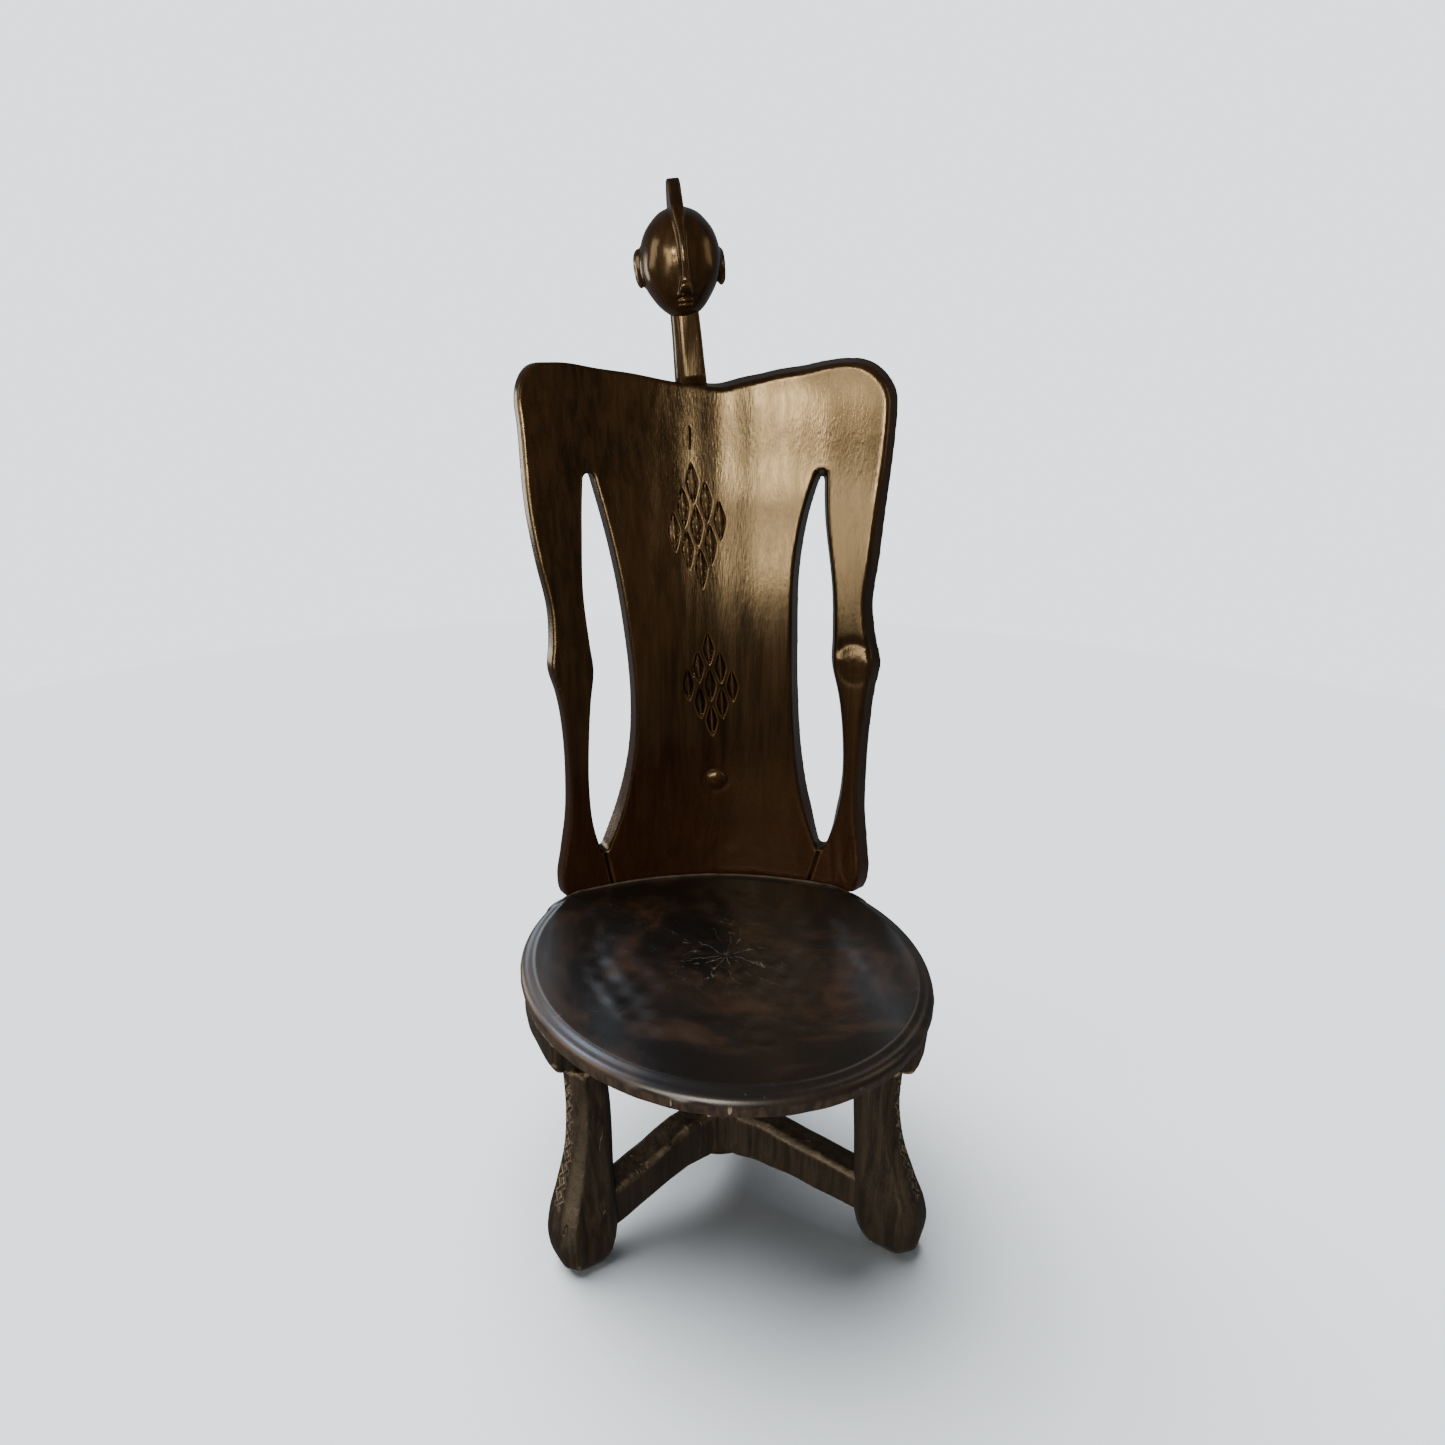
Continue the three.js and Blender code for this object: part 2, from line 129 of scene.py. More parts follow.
# ---- meshes from functions ----
def surface_net(field, low, high, cell):
    """Vertices and quads of the closed surface where field changes sign inside a box of cubes."""
    axes = [np.arange(a - 1.5 * cell, b + 2.5 * cell, cell) for a, b in zip(low, high)]
    grid = np.stack(np.meshgrid(*axes, indexing="ij"), axis=-1)
    value = field(grid.reshape(-1, 3)).reshape(grid.shape[:3])
    cells = tuple(n - 1 for n in value.shape)
    total = np.zeros((math.prod(cells), 3))
    count = np.zeros(math.prod(cells))
    rings = []
    for axis in range(3):
        start, stop = [slice(None)] * 3, [slice(None)] * 3
        start[axis], stop[axis] = slice(0, -1), slice(1, None)
        here, there = value[tuple(start)], value[tuple(stop)]
        crossing = (here < 0) != (there < 0)
        nodes = np.argwhere(crossing)
        points = grid[tuple(nodes.T)].copy()
        points[:, axis] += cell * here[crossing] / (here[crossing] - there[crossing])
        u, v = [k for k in range(3) if k != axis]
        ring = []
        for du, dv in ((0, 0), (-1, 0), (-1, -1), (0, -1)):
            around = nodes.copy()
            around[:, u] += du
            around[:, v] += dv
            flat = np.ravel_multi_index(tuple(around.T), cells)
            ring.append(flat)
            count += np.bincount(flat, minlength=len(count))
            for k in range(3):
                total[:, k] += np.bincount(flat, points[:, k], len(count))
        ring = np.stack(ring, axis=1)
        turned = (here[crossing] < 0) == (axis == 1)
        ring[turned] = ring[turned, ::-1]
        rings.append(ring)
    used = count > 0
    index = np.cumsum(used) - 1
    return total[used] / count[used][:, None], index[np.concatenate(rings)]


def slope_of(field, points, reach=0.3):
    steps = np.eye(3) * reach
    return np.stack([field(points + s) - field(points - s) for s in steps], axis=-1) / (2 * reach)


def settle(field, points, rounds=3, furthest=1.5):
    """Moves points along the field's slope onto its surface."""
    for _ in range(rounds):
        slope = slope_of(field, points)
        move = -(field(points) / np.maximum((slope**2).sum(1), 0.2))[:, None] * slope
        length = np.linalg.norm(move, axis=1)[:, None]
        points = points + move * np.minimum(1, furthest / np.maximum(length, 1e-9))
    return points


def spread(points, quads, rounds=2):
    """Evens the spacing of points over a surface of quads."""
    ends = np.concatenate([quads[:, [k, (k + 1) % 4]] for k in range(4)])
    neighbours = np.bincount(ends[:, 0], minlength=len(points))[:, None]
    for _ in range(rounds):
        pull = np.stack([np.bincount(ends[:, 0], points[ends[:, 1], k], len(points)) for k in range(3)], 1)
        points = points + 0.5 * (pull / neighbours - points)
    return points


def places(mesh):
    flat = np.zeros(3 * len(mesh.vertices))
    mesh.vertices.foreach_get("co", flat)
    return flat.reshape(-1, 3)


def set_places(mesh, points):
    mesh.vertices.foreach_set("co", np.asarray(points).reshape(-1))
    mesh.update()


def refine(mesh, wanted):
    """Halves every edge whose middle is wanted."""
    points = places(mesh)
    ends = np.zeros(2 * len(mesh.edges), np.int32)
    mesh.edges.foreach_get("vertices", ends)
    ends = ends.reshape(-1, 2)
    chosen = np.flatnonzero(wanted(points[ends[:, 0]], points[ends[:, 1]]))
    if not len(chosen):
        return
    work = bmesh.new()
    work.from_mesh(mesh)
    work.edges.ensure_lookup_table()
    edges = [work.edges[i] for i in chosen]
    bmesh.ops.subdivide_edges(work, edges=edges, cuts=1, use_grid_fill=True)
    many_sided = [face for face in work.faces if len(face.verts) > 4]
    bmesh.ops.triangulate(work, faces=many_sided)
    work.to_mesh(mesh)
    work.free()


def mark_bends(mesh):
    """Keeps at each point how sharply the surface turns there, above 0 on edges and below 0 in grooves."""
    points = places(mesh)
    normals = np.zeros(3 * len(points))
    mesh.vertex_normals.foreach_get("vector", normals)
    normals = normals.reshape(-1, 3)
    ends = np.zeros(2 * len(mesh.edges), np.int32)
    mesh.edges.foreach_get("vertices", ends)
    ends = np.concatenate([ends.reshape(-1, 2), ends.reshape(-1, 2)[:, ::-1]])
    apart = points[ends[:, 1]] - points[ends[:, 0]]
    drop = -(apart * normals[ends[:, 0]]).sum(1)
    total = np.bincount(ends[:, 0], drop, len(points)) * 2
    bend = total / np.maximum(np.bincount(ends[:, 0], (apart**2).sum(1), len(points)), 1e-6)
    neighbours = np.bincount(ends[:, 0], minlength=len(points))
    for _ in range(2):
        beside = np.bincount(ends[:, 0], bend[ends[:, 1]], len(points)) / neighbours
        bend = (bend + beside) / 2
    kept = mesh.attributes.get("bend") or mesh.attributes.new("bend", "FLOAT", "POINT")
    kept.data.foreach_set("value", bend)


def carve(field, low, high, cell, rough=None, finer=(), bend=18):
    """The mesh of a field. It is found on rough, the field without its fine cuts, then halved round sharp
    bends and wherever finer's functions ask, and settled on the field itself."""
    rough = rough or field
    points, quads = surface_net(rough, low, high, cell)
    points = settle(rough, spread(settle(rough, points, 1, cell), quads))
    mesh = bpy.data.meshes.new("carving")
    mesh.from_pydata(points.tolist(), [], quads.tolist())

    def bends(a, b):
        directions = [slope_of(rough, p) for p in (a, b)]
        first, second = (d / np.maximum(np.linalg.norm(d, axis=1), 1e-9)[:, None] for d in directions)
        return (first * second).sum(1) < math.cos(math.radians(bend))

    refine(mesh, bends)
    set_places(mesh, settle(rough, places(mesh)))
    for region in finer:
        refine(mesh, lambda a, b: region((a + b) / 2))
        set_places(mesh, settle(rough, places(mesh), 1))
    set_places(mesh, settle(field, places(mesh), 5))
    mark_bends(mesh)
    return mesh


def part_of(mesh, planes):
    """The part of a closed mesh behind each plane, a point and a normal, closed again with flat caps."""
    work = bmesh.new()
    work.from_mesh(mesh)
    for point, normal in planes:
        everything = work.verts[:] + work.edges[:] + work.faces[:]
        bmesh.ops.bisect_plane(work, geom=everything, plane_co=point, plane_no=normal, clear_outer=True)
        rim = [edge for edge in work.edges if edge.is_boundary]
        caps = bmesh.ops.holes_fill(work, edges=rim, sides=0)["faces"]
        bmesh.ops.triangulate(work, faces=caps)
    part = bpy.data.meshes.new("part")
    work.to_mesh(part)
    work.free()
    return part


CREASE = math.radians(38)


def add_piece(name, mesh, material, nodes, to_carver=None):
    """Makes a mesh of the carver's space into a finished piece that stands for its CAD nodes."""
    points = places(mesh)
    set_places(mesh, in_frame(points if to_carver is None else to_carver(points)))
    mesh.polygons.foreach_set("use_smooth", [True] * len(mesh.polygons))
    mesh.set_sharp_from_angle(angle=CREASE)
    mesh.name = name
    mesh.materials.append(material)
    piece = bpy.data.objects.new(f"carved_{name}", mesh)
    bpy.context.scene.collection.objects.link(piece)
    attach(piece, "root")
    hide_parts(*nodes)
    return piece


# ---- the back: a dished slab, worked on in its own space of sideways place, depth and height ----
MIDLINE = curve([(5, 262), (5, 480), (-7, 700), (-8, 850), (-13, 880)])
HOLLOW = curve([(182, 240), (167, 300), (152, 390), (149, 545), (168, 705), (199, 860), (203, 895)])
CURL = curve([(0.0019, 262), (0.00152, 546), (0.00124, 861)])
SLAB_THICKNESS, EDGE_THINNING, SLAB_REACH = 26, 7, 235
RIGHT_FLARE, GAP_FLARE = 8, 0.22
ARMPIT, ELBOW_TOP, ELBOW_BOTTOM, WRIST, OPENING_FOOT = 757, 590, 505, 395, 306
ARM_OUTER = curve([
    (203, 830), (196, 757), (183, 665), (174, 608), (175, 572), (178, 547), (172, 515),
    (166, 450), (165, 410), (166, 368), (172, 320), (176, 282), (173, 260), (162, 240),
])
ARM_INNER = curve([
    (134, 757), (135, 700), (138, 620), (136, 570), (134, 540), (139, 503), (143, 450), (144, 400),
    (140, 352), (129, 306),
])
TORSO_SIDE = curve([
    (123, 757), (110, 712), (98, 650), (90.5, 570), (88.5, 500), (93, 425), (104, 364), (123, 306),
])
SHOULDER_LINE = curve([(852, 0), (852, 18), (861, 60), (870, 110), (878, 160), (876, 184), (868, 203)])


def slab_front(x, z):
    return HOLLOW(z) - CURL(z) * (x - MIDLINE(z)) ** 2


def from_slab(points):
    """Slab space (sideways place on the hollow face, depth square to it, height) in the carver's space."""
    x, depth, z = points.T
    lean = 2 * CURL(z) * (x - MIDLINE(z))
    across, behind = lean / np.hypot(lean, 1), 1 / np.hypot(lean, 1)
    return np.stack([x + depth * across, slab_front(x, z) + depth * behind, z], axis=1)


def outer_edge(x, z):
    """Distance outside the back's outer outline, seen square to its hollow face."""
    half = np.abs(x - MIDLINE(z))
    return smooth_max(half - ARM_OUTER(z), z - SHOULDER_LINE(half), 34)


def arm_gap(x, z):
    """Distance outside the gap between an arm and the torso."""
    half = np.abs(x - MIDLINE(z))
    sides = smooth_max(TORSO_SIDE(z) - half, half - ARM_INNER(z), 7)
    return smooth_max(sides, np.maximum(z - ARMPIT, OPENING_FOOT - z), 7)


# The two carved lozenges: where the first spindle is, the steps down to the right and down to the left,
# and a spindle's half width and half height.
LOZENGES = [
    {"first": (-18, 742), "right": (15.3, -21), "left": (-10.5, -27), "half": (7.6, 24)},
    {"first": (-0.5, 554), "right": (13.8, -22), "left": (-11.4, -21), "half": (7.0, 20)},
]
SPINDLE_DEPTH = 2.8
SPINDLE_TILT = 0.06
NICKS = [(-14.5, 541), (-18, 530)]
SLIT = {"x": -20, "low": 778, "high": 806, "half": 1.3, "depth": 2.2}
# The crease between the torso and each hand, from a gap's foot to the seat.
PARTING = {"top": 310, "half_top": 126, "inwards": 0.16, "half_width": 3.6, "depth": 2.4}
NAVEL = {"x": 10, "z": 393, "radius": 13, "height": 6.5}


def spindle(x, z, middle, half):
    """A leaf-shaped cut of two V grooves with a ridge left standing between them. Above 0 is cut away."""
    up = np.clip((z - middle[1]) / half[1], -1, 1)
    reach = half[0] * (1 - np.abs(up) ** 1.4)
    across = np.abs(x - middle[0] + SPINDLE_TILT * (z - middle[1])) / np.maximum(reach, 1e-3)
    grooves = np.minimum(np.clip(1 - across, 0, 1) * 2.6, across * 1.65)
    return SPINDLE_DEPTH * np.minimum(grooves, 1) * np.minimum(1, reach / half[0] * 2.2)


def spindle_middles():
    for lozenge in LOZENGES:
        for i in range(3):
            for j in range(3):
                steps = zip(lozenge["first"], lozenge["right"], lozenge["left"])
                yield [start + i * right + j * left for start, right, left in steps], lozenge["half"]


def from_parting(x, z):
    """Distance outwards from the crease between the torso and a hand."""
    line = PARTING["half_top"] + PARTING["inwards"] * (z - PARTING["top"])
    return np.abs(x - MIDLINE(z)) - line


def hollow_relief(x, z):
    """Depth carved out of the hollow face, below 0 where wood stands proud of it."""
    cut = np.zeros(len(x))
    for middle, half in spindle_middles():
        near = (np.abs(x - middle[0]) < half[0] + 3) & (np.abs(z - middle[1]) < half[1])
        cut[near] = np.maximum(cut[near], spindle(x[near], z[near], middle, half))
    for middle in NICKS:
        near = (np.abs(x - middle[0]) < 4) & (np.abs(z - middle[1]) < 9)
        cut[near] = np.maximum(cut[near], 0.6 * spindle(x[near], z[near], middle, (2.2, 9)))
    slit_end = smooth_step(0, 5, np.minimum(z - SLIT["low"], SLIT["high"] - z))
    cut += SLIT["depth"] * np.clip(1 - np.abs(x - SLIT["x"]) / SLIT["half"], 0, 1) * slit_end
    from_navel = np.hypot(x - NAVEL["x"], z - NAVEL["z"])
    cut += 0.9 * np.exp(-(((from_navel - NAVEL["radius"] - 1.5) / 3.0) ** 2))
    groove = smooth_step(PARTING["half_width"], 0, np.abs(from_parting(x, z)))
    cut += PARTING["depth"] * groove * smooth_step(PARTING["top"], PARTING["top"] - 8, z)
    return cut + elbow_relief(x, z) + hand_relief(x, z)


def bump_at(x, z, middle, half, power=2.0):
    """1 in the middle of an oval and 0 outside it."""
    oval = ((x - middle[0]) / half[0]) ** 2 + ((z - middle[1]) / half[1]) ** 2
    return np.clip(1 - oval, 0, 1) ** (power / 2)


def ring_about(x, z, middle, half, width, up):
    """A soft groove round the upper (up = 1) or lower (up = -1) half of an oval."""
    across, rise = (x - middle[0]) / half[0], (z - middle[1]) / half[1]
    out = np.hypot(across, rise)
    return np.exp(-(((out - 1) / width) ** 2)) * smooth_step(-0.1, 0.7, up * rise / np.maximum(out, 0.1))


def elbow_relief(x, z):
    cut = np.zeros(len(x))
    pits = ripple(np.stack([x, z, 0 * x], axis=1), 6, 31)
    for side, boldness in ((-1, 0.5), (1, 1)):
        middle = (MIDLINE(552) + side * 155, 549)
        boss = bump_at(x, z, middle, (17, 15), 2.4)
        cut += boldness * 1.6 * ring_about(x, z, middle, (17, 19), 0.34, 1)
        cut += boldness * 0.5 * ring_about(x, z, middle, (17, 25), 0.2, -1)
        cut -= boldness * boss * (0.9 + 0.06 * pits)
    return cut


def hand_relief(x, z):
    cut = np.zeros(len(x))
    for side, boldness in ((-1, 0.5), (1, 1)):
        half = side * (x - MIDLINE(z))
        fade = boldness * smooth_step(350, 320, z)
        for line, lean, depth in ((139, 0.1, 0.5), (149, 0.02, 0.8)):
            cut += depth * fade * np.exp(-(((half - line - lean * (300 - z)) / 3.2) ** 2))
        scoop = bump_at(half, z, (159, 303), (11, 33), 1.2)
        cut += boldness * 2.4 * scoop * smooth_step(168, 150, half)
    return cut


def slab_field(points):
    x, depth, z = points.T
    thickness = SLAB_THICKNESS - EDGE_THINNING * ((x - MIDLINE(z)) / SLAB_REACH) ** 2
    rightwards = smooth_step(-30, 30, x)
    flare = RIGHT_FLARE * rightwards * (1 - depth / SLAB_THICKNESS)
    outside = outer_edge(x, z)
    rim = smooth_max(-depth, outside + flare, 5)
    gap_flare = GAP_FLARE * rightwards * smooth_step(OPENING_FOOT, OPENING_FOOT + 60, z)
    rim = smooth_max(rim, -arm_gap(x, z) - gap_flare * depth, 4)
    behind = smooth_max(depth - thickness, outside, 9)
    sunk = seat_top(*from_slab(points).T[:2]) - 3
    return np.maximum(np.maximum(rim, behind), sunk - z) + 0.3 * ripple(points * (1, 0.3, 0.45), 50, 3)


def press_relief(mesh):
    """Sinks the carving straight into the hollow face, whose depth is near 0."""
    points = places(mesh)
    x, depth, z = points.T
    points[:, 1] += hollow_relief(x, z) * smooth_step(7, 1.5, depth)
    set_places(mesh, points)
    mark_bends(mesh)


def near_fine_cuts(points):
    x, depth, z = points.T
    chosen = np.zeros(len(x), bool)
    for middle, half in spindle_middles():
        chosen |= (np.abs(x - middle[0]) < half[0] + 2) & (np.abs(z - middle[1]) < half[1] + 2)
    chosen |= (np.abs(x - SLIT["x"]) < 4) & (z > SLIT["low"] - 3) & (z < SLIT["high"] + 3)
    chosen |= (np.abs(from_parting(x, z)) < PARTING["half_width"] + 1.5) & (z < PARTING["top"] + 2)
    return chosen & (depth < 6)


def near_soft_cuts(points):
    x, depth, z = points.T
    half = np.abs(x - MIDLINE(z))
    elbow = (half > 132) & (np.abs(z - 550) < 34)
    hand = (half > 122) & (z < 362)
    navel = np.hypot(x - NAVEL["x"], z - NAVEL["z"]) < NAVEL["radius"] + 9
    return (elbow | hand | navel) & (depth < 8)


def gap_plane(side, kept):
    """The plane that parts an arm from the torso through the middle of its gap. It keeps the side named."""
    low = Vector((5 + side * 126, 0, 300))
    high = Vector((-7.5 + side * 128, 0, ARMPIT))
    outwards = Vector((side * (high.z - low.z), 0, side * (low.x - high.x))).normalized()
    return low, outwards if kept == "torso" else -outwards


def above(height):
    return (0, 0, height), (0, 0, -1)


def below(height):
    return (0, 0, height), (0, 0, 1)


def build_back(wood):
    finer = [lambda p: near_fine_cuts(p) | near_soft_cuts(p), near_fine_cuts]
    mesh = carve(slab_field, (-216, 0, 234), (206, 27, 880), 2.5, finer=finer)
    press_relief(mesh)
    add_piece("shoulders", part_of(mesh, [above(ARMPIT)]), wood, ["shoulders"], from_slab)
    torso = part_of(mesh, [below(ARMPIT), gap_plane(-1, "torso"), gap_plane(1, "torso")])
    add_piece("torso", torso, wood, ["torso"], from_slab)
    for side_name, side in (("left", -1), ("right", 1)):
        arm = part_of(mesh, [below(ARMPIT), gap_plane(side, "arm")])
        for name, low, high in (
            ("upper_arm", ELBOW_TOP, ARMPIT), ("elbow", ELBOW_BOTTOM, ELBOW_TOP),
            ("forearm", WRIST, ELBOW_BOTTOM), ("hand", 0, WRIST),
        ):
            node = f"{side_name}_{name}"
            add_piece(node, part_of(arm, [below(high), above(low)]), wood, [node], from_slab)


def navel_field(points):
    x, depth, z = points.T
    radius, height = NAVEL["radius"], NAVEL["height"]
    from_middle = np.hypot(x - NAVEL["x"], z - NAVEL["z"])
    dome = (np.sqrt((from_middle / radius) ** 2 + (depth / height) ** 2) - 1) * height
    return smooth_max(dome, depth - 2, 1)


def build_navel(wood):
    low = (NAVEL["x"] - 14, -8, NAVEL["z"] - 14)
    high = (NAVEL["x"] + 14, 3, NAVEL["z"] + 14)
    add_piece("navel_boss", carve(navel_field, low, high, 1.2), wood, ["navel_boss"], from_slab)


# ---- head, crest, ears and neck, in a space that leans about the foot of the neck ----
NECK_FOOT = np.array([-17, 197.6, 853])
NECK_HEIGHT = 70
NECK_FADE, NECK_FADE_BELOW = 0.5, 6
HEAD_LEAN = math.radians(6)
HEAD_MIDDLE = np.array([0, 10, 129])
HEAD_HALF = np.array([45, 50, 60])
EAR_LIFT = 4
EAR_PLANE = 45.6
CREST_FRONT = curve([
    (-33, 94), (-41, 98), (-43, 110), (-46.5, 130), (-45, 147), (-34, 172), (-16, 201), (-1, 218),
])
CREST_BACK = curve([(58, 130), (58, 142), (54, 160), (40, 184), (22, 205), (5, 218)])
CREST_HALF = curve([(8, 94), (6.5, 100), (3.6, 113), (2.8, 134), (3.8, 156), (6.2, 182), (7, 218)])
NOSE_FOOT = 94
LIPS = [{"y": -20.5, "z": 88.4, "half": (9.5, 4.6, 2.5)}, {"y": -17.5, "z": 83.8, "half": (8.2, 4.8, 2.6)}]


def from_head(points):
    x, y, z = points.T
    sine, cosine = math.sin(HEAD_LEAN), math.cos(HEAD_LEAN)
    return np.stack([x * cosine - z * sine, y, x * sine + z * cosine], axis=1) + NECK_FOOT


def ellipsoid(points, middle, half):
    scaled = (points - middle) / half
    return (np.linalg.norm(scaled, axis=1) - 1) * float(np.min(half))


def head_field(points):
    x, y, z = points.T
    from_middle = points - HEAD_MIDDLE
    taper = 1 - 0.22 * np.clip(-from_middle[:, 2] / HEAD_HALF[2], 0, 1.2) ** 1.5
    egg = from_middle / (HEAD_HALF * np.stack([taper, taper, np.ones(len(x))], axis=1))
    skull = (np.linalg.norm(egg, axis=1) - 1) * 46
    face = -34 + 0.009 * x**2 + 0.0042 * (z - 132) ** 2 - y
    skull = smooth_max(skull, face, 5)
    blade = smooth_max(CREST_FRONT(z) - y, y - CREST_BACK(z), 12)
    blade = smooth_max(smooth_max(blade, z - 218, 5), NOSE_FOOT - z, 3)
    blade = smooth_max(blade, np.abs(x) - CREST_HALF(z), 2.5)
    shape = smooth_min(skull, blade, 5)
    for lip in LIPS:
        swell = ellipsoid(points, np.array([0, lip["y"], lip["z"]]), np.array(lip["half"]))
        shape = smooth_min(shape, swell, 1.2)
    for side in (-1, 1):
        middle = np.array([side * (HEAD_HALF[0] - 0.5), 14, 125 - side * EAR_LIFT])
        ear = ellipsoid(points, middle, np.array([7, 13, 21]))
        bowl = ellipsoid(points, middle + (side * 8, -3, 1), np.array([5, 7, 14]))
        shape = smooth_min(shape, smooth_max(ear, -bowl, 2), 3)
    return shape + 0.3 * ripple(points, 30, 11)


def build_head(wood):
    mesh = carve(head_field, (-52, -48, 68), (52, 62, 220), 2.0, bend=14)
    ear_planes = {side: ((side * EAR_PLANE, 0, 0), (side, 0, 0)) for side in (-1, 1)}
    crown = HEAD_MIDDLE[2] + HEAD_HALF[2] + 2
    skull = part_of(mesh, [below(crown), *ear_planes.values()])
    add_piece("head", skull, wood, ["head"], from_head)
    add_piece("crest", part_of(mesh, [above(crown)]), wood, ["crest"], from_head)
    for name, side in (("left_ear", -1), ("right_ear", 1)):
        place, normal = ear_planes[side]
        kept = part_of(mesh, [(place, (-normal[0], 0, 0)), below(crown)])
        add_piece(name, kept, wood, [name], from_head)


def neck_field(points):
    x, y, z = points.T
    half = 17 - 2 * (z + 14) / 94
    front = -2 + NECK_FADE * np.maximum(NECK_FADE_BELOW - z, 0)
    sides = smooth_max(np.abs(x) - half, smooth_max(front - y, y - 30, 4), 4)
    arris = -(x + 8) * 0.74 - (y + 2) * 0.67
    ends = np.maximum(z - NECK_HEIGHT - 9, -12 - z)
    return np.maximum(smooth_max(sides, arris, 2.5), ends) + 0.25 * ripple(points * (1, 1, 0.4), 24, 5)


def build_neck(wood):
    add_piece("neck", carve(neck_field, (-18, -3, -13), (18, 31, 80), 2.0), wood, ["neck"], from_head)


# ---- the seat ----
SEAT_RADIUS = float(SEAT_TOP[0] - SEAT_LOW[0]) / 2
SEAT_HEIGHT = float(SEAT_TOP[2])
SEAT_UNDERSIDE = 236
DISH_RADIUS = SEAT_RADIUS - 15
DISH_DEPTH = 20.5
PITH = np.array([8, 26])
SEAT_SIDES, DISH_RINGS = 460, 104
LIP = {"height": 2.6, "middle": 3.0, "half": 3.2}


def seat_top(x, y):
    share = np.hypot(x, y) / DISH_RADIUS
    return SEAT_HEIGHT - 0.5 - DISH_DEPTH * (1 - np.minimum(share, 1) ** 2.4)


# Outwards from the dish: a flat bevel that drops by RIM_DROP, a rounding RIM_ROUND wide and high, the
# side band and the underside, which is deeper in the middle.
RIM_ROUND = (8.5, 9)
RIM_DROP = 3.8
UNDERSIDE_DROP = 6
SEAT_EDGE = [
    *((SEAT_RADIUS - RIM_ROUND[0] * (1 - math.sin(a)),
       SEAT_HEIGHT - RIM_DROP - RIM_ROUND[1] * (1 - math.cos(a))) for a in np.radians(np.arange(0, 91, 15))),
    (SEAT_RADIUS - 2.5, SEAT_UNDERSIDE + 3),
    (SEAT_RADIUS - 6, SEAT_UNDERSIDE),
    (SEAT_RADIUS - 45, SEAT_UNDERSIDE),
    (SEAT_RADIUS - 60, SEAT_UNDERSIDE - UNDERSIDE_DROP),
    (60, SEAT_UNDERSIDE - UNDERSIDE_DROP),
    (0, SEAT_UNDERSIDE - UNDERSIDE_DROP),
]
DISH_FLOOR = SEAT_HEIGHT - 22


def rounded(points, spacing, reach, rounds=3):
    """A line through points, evenly resampled and with its corners rounded over about reach."""
    points = np.array(points, float)
    along = np.concatenate([[0], np.cumsum(np.linalg.norm(np.diff(points, axis=0), axis=1))])
    steps = np.arange(0, along[-1], spacing)
    line = np.stack([np.interp(steps, along, points[:, k]) for k in range(2)], axis=1)
    width = max(1, round(reach / spacing))
    kernel = np.ones(2 * width + 1) / (2 * width + 1)
    for _ in range(rounds):
        padded = np.concatenate([np.repeat(line[:1], width, 0), line, np.repeat(line[-1:], width, 0)])
        line = np.stack([np.convolve(padded[:, k], kernel, "valid") for k in range(2)], axis=1)
    return line


def seat_profile():
    share = np.linspace(0.01, 1, DISH_RINGS)
    dish = np.stack([DISH_RADIUS * share, seat_top(DISH_RADIUS * share, 0)], axis=1)
    edge = rounded([tuple(dish[-3]), tuple(dish[-1]), *SEAT_EDGE], 0.9, 0.9)[:-1]
    underneath = (edge[:, 0] < SEAT_RADIUS - 10) & (edge[:, 1] < SEAT_UNDERSIDE + 1)
    kept = ~underneath | (np.arange(len(edge)) % 8 == 0)
    return np.concatenate([dish[:-3], edge[kept]])


def seat_relief(points, height):
    """How far the seat's surface stands out from its plain turned shape."""
    wave = 0.12 * ripple(points, 90, 21) + 0.01 * ripple(points, 30, 22)
    band = smooth_step(SEAT_HEIGHT - 9, SEAT_HEIGHT - 13, height)
    before_back = slab_front(points[:, 0], 262) - points[:, 1]
    lip = np.exp(-(((before_back - LIP["middle"]) / LIP["half"]) ** 2)) * (1 + 0.12 * ripple(points, 18, 24))
    return wave + band * 0.35 * ripple(points * (1, 1, 0.2), 22, 23) + (1 - band) * LIP["height"] * lip


